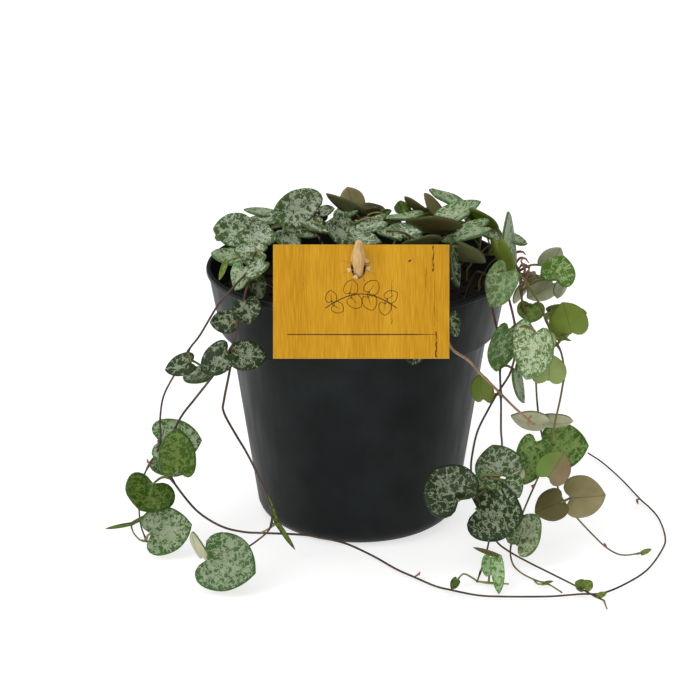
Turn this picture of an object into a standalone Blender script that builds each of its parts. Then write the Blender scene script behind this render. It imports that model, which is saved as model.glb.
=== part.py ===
"""A string of hearts, Ceropegia woodii, in a 12 cm nursery pot with a card on a wooden pick.

The pot's axis is Z and it stands on z = 0, with the front of the plant towards -Y. Places and sizes
are in millimetres, and MM turns them to metres.
"""

import math
import random

import bmesh
import bpy
from mathutils import Matrix, Vector
from mathutils.geometry import intersect_point_line

MM = 0.001
GAP = 0.3  # air between pieces that touch on the real thing
HOLE_GAP = 0.42  # the same round a rod in its hole, where both are faceted
PAST = 8.0  # how far a cutter reaches past the surface that it cuts

# Pot: a thin-walled cone with a wide collar and a small lip
RIM_RADIUS = 60.0
POT_HEIGHT = 105.0
WALL = 1.2
LIP_HEIGHT = 2.6
LIP_STEP = 0.9
COLLAR_BOTTOM = 80.0
COLLAR_LOW_RADIUS = 55.2
BODY_TOP_RADIUS = 51.5
BODY_LOW_RADIUS = 41.3
BASE_CORNER = 8.0
FLOOR_THICKNESS = 1.6
POT_STEPS = 30
DRAIN_HOLES = 6
DRAIN_RADIUS = 4.0
DRAIN_CIRCLE = 25.0
DRAIN_SIDES = 10

# Soil: fills the pot, a little proud in the middle
SOIL_LEVEL = 92.0
SOIL_CROWN = 1.5
SOIL_STEPS = 20
ROOT_DEPTH = 84.0  # the height that every stem and the pick reach down to
ROOT_SIDES = 6

# Card and the pick that holds it
CARD_WIDTH = 64.4
CARD_HEIGHT = 41.7
CARD_THICKNESS = 0.8
CARD_CENTRE = (0.7, -59.3, 108.9)
CARD_TILT = math.radians(20)  # its top leans back, over the rim
PICK_CROSSING = (-0.3, -55.0, 120.7)  # where the pick passes through the card
PICK_RADIUS = 2.7
PICK_END_RADIUS = 1.5
PICK_TAPER = 7.0
PICK_LEAN = math.radians(14)
PICK_TOP = 131.5
PICK_SIDES = 16

# Plant: stems are tubes, leaves are heart-shaped plates
STEM_RADIUS = 0.6
STALK_RADIUS = 0.8
SHOOT_RADIUS = 0.4
PETIOLE_RADIUS = 0.45
CURVE_STEP = 2.0
CURVE_TOLERANCE = 0.4  # how far a straight run may stray from the curve
PETIOLE_ARCH = 0.14  # rise of a leaf stalk in its middle, as a share of its length
SHORT_PETIOLE = 5.0  # a stalk this short is one straight run
BLADE_THICKNESS = 0.8
BLADE_DISH = 0.07  # how far the middle of a blade lies below its edge, as a share of its width
BLADE_MIDDLE = 0.36  # how far along the blade the dish is deepest
BLADE_STRETCH = 1.06
TIP_POINT = 0.1  # how far a leaf's tip stands out of its round outline, as a share of its width
TIP_FADE = 0.31  # the angle over which the tip fades
# Flat flanks, round lobes and a notch: how far each stands out, at which angle from the tip, and its spread
BLADE_SWELLS = ((-0.03, 0.8, 0.4), (0.08, 2.35, 0.55), (-0.2, math.pi, 0.33))
SCRAP_POINTS = 14  # a loose piece with fewer points than this is a scrap
BLADE_SIDES = ((16.0, 5), (5.0, 4), (0.0, 3))  # outline points each side of the midrib, by least width

# Eye: where the photo was taken from. Places read off it are pixels across and down, with a depth along Y
EYE = (-3.4, -745.0, 341.0)
EYE_PITCH = math.radians(20.1)  # how far it looks down
PIXELS_PER_SLOPE = 1980.0
MIDDLE_PIXEL = 350.0
NEAR, FAR = 1, -1  # which way a leaf's tip leans
UP, DOWN = 1, -1  # which way its upper face is turned
FACE, BACK = "face", "back"  # the side of a leaf that shows
LYING = 1.5  # the height of a stem's middle where it lies on the table
NARROW = 7  # a leaf that looks this few pixels wide is read as truly narrow
TABLE_CLEARANCE = 0.3

# Stems over the back of the pot follow a rule: they fan out from behind the middle and over the rim
BACK_ANGLES = (36, 63, 90, 117, 144)
BACK_CLIMB = ((27, 97), (31, 103), (38, 106.5), (50, 109), (60, 109), (66, 103), (67.5, 95), (68, 86))
BACK_PAIRS = ((0.42, 12.0), (0.63, 13.0), (0.86, 12.0))  # place along the stem, and width
BACK_DRIFT = 7.0  # degrees that a stem may wander sideways
BACK_STALK = 1.8  # the stem to a leaf's notch
BACK_LIFT = 1.5  # a leaf's height over its stem, and its place outside it
BACK_LENGTH = 0.75  # a leaf's length for its width
BACK_ROLL = 70.0  # degrees that a leaf is turned towards its stem
BACK_SEED = 12


def clear_scene():
    for obj in list(bpy.data.objects):
        bpy.data.objects.remove(obj)


def collection(name, hidden=False):
    made = bpy.data.collections.new(name)
    made.hide_render = hidden
    bpy.context.scene.collection.children.link(made)
    return made


def material(name, colour, roughness):
    made = bpy.data.materials.new(name)
    made.use_nodes = True
    shader = made.node_tree.nodes["Principled BSDF"]
    shader.inputs["Base Color"].default_value = (*colour, 1.0)
    shader.inputs["Roughness"].default_value = roughness
    return made


def object_from(bm, name, home):
    mesh = bpy.data.meshes.new(name)
    bm.to_mesh(mesh)
    bm.free()
    obj = bpy.data.objects.new(name, mesh)
    home.objects.link(obj)
    return obj


def millimetres(*values):
    return Vector(values) * MM


def turned(name, profile, steps, home):
    """A profile of (radius, height) from the axis, up the inside and down the outside, turned about Z."""
    bm = bmesh.new()
    points = [bm.verts.new(millimetres(radius, 0, height)) for radius, height in profile]
    for first, second in zip(points, points[1:]):
        bm.edges.new((first, second))
    obj = object_from(bm, name, home)
    screw = obj.modifiers.new("turn", "SCREW")
    screw.steps = steps
    screw.render_steps = steps
    screw.use_merge_vertices = True
    screw.merge_threshold = 0.00005
    screw.use_smooth_shade = True
    return obj


def boolean(obj, name, cutters, operation, solver="EXACT"):
    modifier = obj.modifiers.new(name, "BOOLEAN")
    modifier.operand_type = "COLLECTION"
    modifier.collection = cutters
    modifier.operation = operation
    modifier.solver = solver
    return modifier


def cylinder(name, radius, start, end, sides, home):
    """A closed cylinder between two points."""
    start = millimetres(*start)
    end = millimetres(*end)
    bm = bmesh.new()
    bmesh.ops.create_cone(
        bm, cap_ends=True, segments=sides, radius1=radius * MM, radius2=radius * MM, depth=(end - start).length
    )
    obj = object_from(bm, name, home)
    obj.location = (start + end) / 2
    obj.rotation_euler = (end - start).to_track_quat("Z", "Y").to_euler()
    obj.display_type = "WIRE"
    return obj


def pot_profile(offset, bottom):
    """The outer wall of the pot, drawn in by offset, from the rim down to the height bottom."""
    corner = [
        (
            BODY_LOW_RADIUS - BASE_CORNER + (BASE_CORNER - offset) * math.sin(angle),
            BASE_CORNER - (BASE_CORNER - bottom) * math.cos(angle),
        )
        for angle in (math.pi / 2, math.pi / 3, math.pi / 6, 0.0)
    ]
    shoulder = COLLAR_BOTTOM + offset
    return [
        (RIM_RADIUS - LIP_STEP - offset, POT_HEIGHT - LIP_HEIGHT),
        (COLLAR_LOW_RADIUS - offset, shoulder),
        (BODY_TOP_RADIUS - offset, shoulder),
        *corner,
    ]


def make_pot(home, cutters):
    inside = pot_profile(WALL, FLOOR_THICKNESS)
    outside = pot_profile(0.0, 0.0)
    lip = RIM_RADIUS - LIP_STEP - WALL
    profile = [
        (0, FLOOR_THICKNESS),
        *reversed(inside),
        (lip + 0.3, POT_HEIGHT - 0.4),
        (lip + 0.8, POT_HEIGHT),
        (RIM_RADIUS - 0.5, POT_HEIGHT),
        (RIM_RADIUS, POT_HEIGHT - 0.5),
        (RIM_RADIUS, POT_HEIGHT - LIP_HEIGHT + 0.4),
        *outside,
        (0, 0),
    ]
    pot = turned("pot", profile, POT_STEPS, home)
    for index in range(DRAIN_HOLES):
        angle = math.tau * (index + 0.5) / DRAIN_HOLES
        x = DRAIN_CIRCLE * math.cos(angle)
        y = DRAIN_CIRCLE * math.sin(angle)
        cylinder("drain_cutter", DRAIN_RADIUS, (x, y, -PAST), (x, y, PAST), DRAIN_SIDES, cutters)
    boolean(pot, "drain holes", cutters, "DIFFERENCE")
    pot.data.materials.append(material("moulded_polypropylene", (0.022, 0.026, 0.028), 0.45))
    return pot


def pick_point(height):
    """A point on the pick's axis, which leans forward as it rises."""
    x, y, z = PICK_CROSSING
    return (x, y - math.tan(PICK_LEAN) * (height - z), height)


def make_soil(home, cutters, roots):
    wall = pot_profile(WALL + GAP, FLOOR_THICKNESS + GAP)
    lip, low = wall[0], wall[1]
    share = (SOIL_LEVEL - low[1]) / (lip[1] - low[1])
    edge = low[0] + (lip[0] - low[0]) * share
    profile = [
        (0, SOIL_LEVEL + SOIL_CROWN),
        (edge * 0.45, SOIL_LEVEL + SOIL_CROWN),
        (edge * 0.85, SOIL_LEVEL + SOIL_CROWN * 0.5),
        (edge, SOIL_LEVEL),
        *wall[1:],
        (0, FLOOR_THICKNESS + GAP),
    ]
    soil = turned("soil", profile, SOIL_STEPS, home)
    foot, top = ROOT_DEPTH - GAP, SOIL_LEVEL + PAST
    for x, y, radius in roots:
        cylinder("root_cutter", radius + HOLE_GAP, (x, y, foot), (x, y, top), ROOT_SIDES, cutters)
    ends = (pick_point(foot - HOLE_GAP), pick_point(top))
    cylinder("pick_cutter", PICK_RADIUS + HOLE_GAP, *ends, PICK_SIDES, cutters)
    boolean(soil, "root holes", cutters, "DIFFERENCE")
    soil.data.materials.append(material("peat_compost", (0.020, 0.013, 0.008), 0.95))
    return soil


def make_card(home, cutters):
    """A stiff sheet leaning on the rim, with a round hole that the pick passes through."""
    bm = bmesh.new()
    bmesh.ops.create_cube(bm, size=MM)
    size = Matrix.Diagonal((CARD_WIDTH, CARD_THICKNESS, CARD_HEIGHT, 1))
    place = Matrix.Translation(millimetres(*CARD_CENTRE)) @ Matrix.Rotation(-CARD_TILT, 4, "X")
    bm.transform(place @ size)
    card = object_from(bm, "card", home)
    ends = [pick_point(PICK_CROSSING[2] + reach) for reach in (-PAST, PAST)]
    cylinder("card_cutter", PICK_RADIUS + HOLE_GAP, *ends, PICK_SIDES, cutters)
    boolean(card, "pick hole", cutters, "DIFFERENCE")
    card.data.materials.append(material("printed_card", (0.62, 0.33, 0.04), 0.6))
    return card


def make_pick(home):
    """A round wooden pick with a blunt tapered end, pushed into the soil and through the card."""
    foot = Vector(pick_point(ROOT_DEPTH))
    top = Vector(pick_point(PICK_TOP))
    length = (top - foot).length
    profile = [
        (0, length),
        (PICK_END_RADIUS, length),
        (PICK_RADIUS, length - PICK_TAPER),
        (PICK_RADIUS, 1.0),
        (PICK_RADIUS - 0.6, 0),
        (0, 0),
    ]
    pick = turned("pick", profile, PICK_SIDES, home)
    pick.location = foot * MM
    pick.rotation_euler = (top - foot).to_track_quat("Z", "Y").to_euler()
    pick.data.materials.append(material("beech_pick", (0.72, 0.50, 0.25), 0.6))
    return pick


def smooth_route(points):
    """Points on a curve through the given ones, close together on bends and far apart on straight runs."""
    points = [Vector(point) for point in points]
    ends = [points[0] * 2 - points[1], *points, points[-1] * 2 - points[-2]]
    route = []
    for before, start, end, after in zip(ends, ends[1:], ends[2:], ends[3:]):
        count = max(1, round((end - start).length / CURVE_STEP))
        for index in range(count):
            t = index / count
            linear = (end - before) / 2
            square = before - start * 2.5 + end * 2 - after / 2
            cube = (start - end) * 1.5 + (after - before) / 2
            route.append(start + linear * t + square * t**2 + cube * t**3)
    return thinned([*route, points[-1]])


def thinned(route):
    """The route without the points that lie close to the straight line between those kept."""
    if len(route) < 3:
        return route
    offsets = [(point - nearest_on([[route[0], route[-1]]], point)).length for point in route]
    widest = max(range(len(route)), key=offsets.__getitem__)
    if offsets[widest] < CURVE_TOLERANCE:
        return [route[0], route[-1]]
    return thinned(route[: widest + 1])[:-1] + thinned(route[widest:])


def tube(name, points, radius, resolution, home):
    """A closed round tube through the points, as a mesh."""
    curve = bpy.data.curves.new(name, "CURVE")
    curve.dimensions = "3D"
    curve.bevel_depth = radius * MM
    curve.bevel_resolution = resolution
    curve.use_fill_caps = True
    spline = curve.splines.new("POLY")
    spline.points.add(len(points) - 1)
    for slot, point in zip(spline.points, points):
        slot.co = (*(Vector(point) * MM), 1)
    guide = bpy.data.objects.new(name + "_guide", curve)
    home.objects.link(guide)
    bpy.context.view_layer.update()
    graph = bpy.context.evaluated_depsgraph_get()
    mesh = bpy.data.meshes.new_from_object(guide.evaluated_get(graph))
    bpy.data.objects.remove(guide)
    bm = bmesh.new()
    bm.from_mesh(mesh)
    bmesh.ops.remove_doubles(bm, verts=bm.verts, dist=0.00002)
    bmesh.ops.recalc_face_normals(bm, faces=bm.faces)
    bm.to_mesh(mesh)
    bm.free()
    mesh.name = name
    obj = bpy.data.objects.new(name, mesh)
    home.objects.link(obj)
    return obj


def leaf_frame(notch, tip, roll):
    """The notch, and the across, along and upward directions of a leaf. With no roll it faces the eye."""
    notch = Vector(notch)
    along = (Vector(tip) - notch).normalized()
    facing = Vector((0, -math.cos(EYE_PITCH), math.sin(EYE_PITCH)))
    upward = (facing - along * facing.dot(along)).normalized()
    upward = Matrix.Rotation(math.radians(roll), 3, along) @ upward
    return notch, along.cross(upward), along, upward


def heart(angle):
    """A leaf's outline for a width and length of 1: its tip is at angle 0, and its notch at half a turn."""
    turn = abs(angle)
    reach = 0.5 + TIP_POINT * math.exp(-turn / TIP_FADE)
    for swell, place, spread in BLADE_SWELLS:
        reach += swell * math.exp(-(((turn - place) / spread) ** 2))
    return reach * math.sin(angle), BLADE_MIDDLE + BLADE_STRETCH * reach * math.cos(angle)


def outline(notch, tip, width, roll, sides):
    """The places round a leaf's edge, from its notch, with this many on each side."""
    origin, across, along, _ = leaf_frame(notch, tip, roll)
    length = (Vector(tip) - origin).length
    found = []
    for index in range(2 * sides):
        u, v = heart(math.pi * (index / sides - 1))
        found.append(origin + across * (u * width) + along * (v * length))
    return found


def ray(across, down):
    """The direction from the eye through a pixel of the photo."""
    right = (across - MIDDLE_PIXEL) / PIXELS_PER_SLOPE
    up = (MIDDLE_PIXEL - down) / PIXELS_PER_SLOPE
    sine, cosine = math.sin(EYE_PITCH), math.cos(EYE_PITCH)
    return Vector((right, cosine + up * sine, up * cosine - sine))


def seen(across, down, depth):
    """The place that shows at a pixel and lies at this depth along Y."""
    direction = ray(across, down)
    return Vector(EYE) + direction * ((depth - EYE[1]) / direction.y)


def on_table(across, down, height=LYING):
    """The place that shows at a pixel and lies this high above the table."""
    direction = ray(across, down)
    return Vector(EYE) + direction * ((height - EYE[2]) / direction.z)


def leaf_reading(notch_x, notch_y, tip_x, tip_y, seen_width, size, depth, lean, turn, side):
    """A leaf's notch, tip, width and roll about its midrib, from how it looks in the photo.

    The size is its real width, or 0 where it is taken from how it looks. Where it looks shorter than it is,
    it leans with its tip near or far, and where it looks narrower, it is rolled with its face up or down.
    Where the depth is a pair, for the notch and the tip, the leaf isn't rolled.
    """
    if isinstance(depth, tuple):
        notch, tip = seen(notch_x, notch_y, depth[0]), seen(tip_x, tip_y, depth[1])
        width = seen_width * (notch - Vector(EYE)).length / PIXELS_PER_SLOPE
        return notch, tip, width, 0.0 if side == FACE else 180.0
    scale = (seen(notch_x, notch_y, depth) - Vector(EYE)).length / PIXELS_PER_SLOPE
    seen_length = math.hypot(tip_x - notch_x, tip_y - notch_y) * scale
    seen_width, narrow = seen_width * scale, seen_width <= NARROW and not size
    width = seen_width if narrow else size or max(seen_length, seen_width)
    length = seen_length if narrow else 0.96 * width
    lag = lean * math.sqrt(max(0.0, length**2 - seen_length**2)) * math.cos(EYE_PITCH) / 2
    notch, tip = seen(notch_x, notch_y, depth + lag), seen(tip_x, tip_y, depth - lag)
    roll = math.degrees(math.acos(min(1.0, seen_width / width)))
    roll = roll if side == FACE else 180 + roll
    faces = {angle: leaf_frame(notch, tip, angle)[3].z for angle in (roll, -roll)}
    return notch, tip, width, max(faces, key=lambda angle: faces[angle] * turn)


def plan_of(reading):
    """A stem's plan in millimetres: its route, its branches and shoots, and the leaves it carries."""
    leaves = []
    for row in reading.get("leaves", []):
        notch, tip, width, roll = leaf_reading(*row)
        low = min(point.z for point in outline(notch, tip, width, roll, 8)) - BLADE_DISH * width
        rise = Vector((0, 0, max(0.0, BLADE_THICKNESS / 2 + TABLE_CLEARANCE - low)))
        leaves.append((notch + rise, tip + rise, width, roll))
    return {**reading, "leaves": leaves}


def blade(notch, tip, width, roll, home):
    """A heart-shaped plate, dished towards its upper face."""
    origin, _, along, upward = leaf_frame(notch, tip, roll)
    length = (Vector(tip) - origin).length
    sides = next(count for least, count in BLADE_SIDES if width >= least)
    rim = outline(notch, tip, width, roll, sides)
    middle = origin + along * (BLADE_MIDDLE * length) - upward * (BLADE_DISH * width)
    half = upward * (BLADE_THICKNESS / 2)
    bm = bmesh.new()
    plates = []
    for side in (1, -1):
        edge = [bm.verts.new((point + half * side) * MM) for point in rim]
        hub = bm.verts.new((middle + half * side) * MM)
        for start, end in zip(edge, [*edge[1:], edge[0]]):
            bm.faces.new((hub, start, end))
        plates.append([*edge, edge[0]])
    top, bottom = plates
    for index in range(2 * sides):
        bm.faces.new((top[index + 1], top[index], bottom[index], bottom[index + 1]))
    bmesh.ops.recalc_face_normals(bm, faces=bm.faces)
    return object_from(bm, "blade", home)


def leaf_stalk(routes, notch, tip, home):
    """A three-sided stalk from inside the blade's notch to the stem, arched where it is long."""
    origin = Vector(notch)
    inside = origin + (Vector(tip) - origin).normalized() * PETIOLE_RADIUS * 2
    start = nearest_on(routes, origin, STEM_RADIUS)
    path = [inside, start]
    if (start - origin).length > SHORT_PETIOLE:
        rise = Vector((0, 0, PETIOLE_ARCH * (start - origin).length))
        path.insert(1, (origin + start) / 2 + rise)
    bm = bmesh.new()
    ring = None
    for before, point, after in zip([path[0], *path], path, [*path[1:], path[-1]]):
        facing = (after - before).to_track_quat("Z", "Y")
        turns = [math.tau * corner / 3 for corner in range(3)]
        spokes = [facing @ Vector((math.cos(turn), math.sin(turn), 0)) for turn in turns]
        fresh = [bm.verts.new((point + spoke * PETIOLE_RADIUS) * MM) for spoke in spokes]
        if ring is None:
            bm.faces.new(fresh)
        else:
            for index in range(3):
                bm.faces.new((ring[index], ring[index - 1], fresh[index - 1], fresh[index]))
        ring = fresh
    bm.faces.new(ring)
    bmesh.ops.recalc_face_normals(bm, faces=bm.faces)
    return object_from(bm, "leaf_stalk", home)


def nearest_on(routes, place, inset=0.0):
    """The point nearest to a place on these chains of straight runs, kept this far from the end of a run."""
    found = []
    for route in routes:
        for start, end in zip(route, route[1:]):
            _, share = intersect_point_line(place, start, end)
            least = min(0.5, inset / (end - start).length)
            found.append(start.lerp(end, min(1 - least, max(least, share))))
    return min(found, key=lambda point: (point - place).length)


def unite(obj, pieces):
    """Joins a collection's meshes to an object for good, and removes them."""
    modifier = boolean(obj, "join", pieces, "UNION", "MANIFOLD")
    bpy.context.view_layer.update()
    graph = bpy.context.evaluated_depsgraph_get()
    joined = bpy.data.meshes.new_from_object(obj.evaluated_get(graph))
    obj.modifiers.remove(modifier)
    obj.data = joined
    drop_scraps(joined)
    for piece in list(pieces.objects):
        bpy.data.objects.remove(piece)
    bpy.data.collections.remove(pieces)


def drop_scraps(mesh):
    """Removes the few-sided scraps that a union leaves where blades graze each other."""
    bm = bmesh.new()
    bm.from_mesh(mesh)
    left = set(bm.verts)
    while left:
        piece = {left.pop()}
        edge = set(piece)
        while edge:
            edge = {end for vert in edge for link in vert.link_edges for end in link.verts} - piece
            piece |= edge
        left -= piece
        if len(piece) < SCRAP_POINTS:
            bmesh.ops.delete(bm, geom=list(piece), context="VERTS")
    bm.to_mesh(mesh)
    bm.free()


def rooted(route):
    """The route with its foot, straight down into the soil."""
    x, y, _ = route[0]
    return [(x, y, ROOT_DEPTH), (x, y, SOIL_LEVEL + 3), *route]


def leafy_stem(name, plan, radius, skin, home):
    """One stem with its branches, shoots and leaves, joined into one solid."""
    routes = [smooth_route(rooted(plan["route"]))]
    stem = tube(name, routes[0], radius, 1, home)
    pieces = collection(name + "_pieces")
    for kind, thickness, resolution in (("branches", radius, 1), ("shoots", SHOOT_RADIUS, 0)):
        for side_route in plan.get(kind, []):
            joint = nearest_on(routes, Vector(side_route[0]), STEM_RADIUS)
            routes.append(smooth_route([joint, *side_route[1:]]))
            tube(kind, routes[-1], thickness, resolution, pieces)
    for notch, tip, width, roll in plan.get("leaves", []):
        blade(notch, tip, width, roll, pieces)
        leaf_stalk(routes, notch, tip, pieces)
    if pieces.objects:
        unite(stem, pieces)
    stem.data.name = name
    stem.data.materials.clear()
    stem.data.materials.append(skin)
    return stem


def point_along(path, share):
    """The point at this share of a path's length, and the heading there."""
    left = share * sum((end - start).length for start, end in zip(path, path[1:]))
    for start, end in zip(path, path[1:]):
        run = (end - start).length
        if left <= run:
            break
        left -= run
    heading = (end - start).normalized()
    return start + heading * min(left, run), heading


def back_plan(angle, draw):
    """A stem from behind the middle, up, over the rim and a little way down, with leaves in pairs."""
    drift = draw.uniform(-BACK_DRIFT, BACK_DRIFT)
    route = []
    for index, (radius, height) in enumerate(BACK_CLIMB[: draw.choice((6, 7, 8))]):
        turn = math.radians(angle + drift * index / len(BACK_CLIMB))
        route.append((radius * math.cos(turn), radius * math.sin(turn), height))
    outward = Vector((math.cos(turn), math.sin(turn), 0))
    sideways = Vector((-outward.y, outward.x, 0))
    path = smooth_route(route)
    leaves = []
    for share, width in BACK_PAIRS:
        node, ahead = point_along(path, share)
        for side in (-1, 1):
            heading = (sideways * side + ahead * draw.uniform(0.1, 0.5)).normalized()
            notch = node + heading * BACK_STALK + (Vector((0, 0, 1)) + outward) * BACK_LIFT
            tip = notch + heading * width * BACK_LENGTH - Vector((0, 0, draw.uniform(0.5, 2.0)))
            roll = 180 - BACK_ROLL * side + draw.uniform(-8, 8)
            leaves.append((tuple(notch), tuple(tip), width * draw.uniform(0.85, 1.0), roll))
    return {"route": route, "leaves": leaves}


def plant_plans():
    """Every stem of the plant, those read off the photo and those that the rule gives."""
    draw = random.Random(BACK_SEED)
    plans = {name: plan_of(reading) for name, reading in STEMS.items()}
    for index, angle in enumerate(BACK_ANGLES):
        plans[f"crown_back_{index + 1}"] = back_plan(angle, draw)
    return plans


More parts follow.
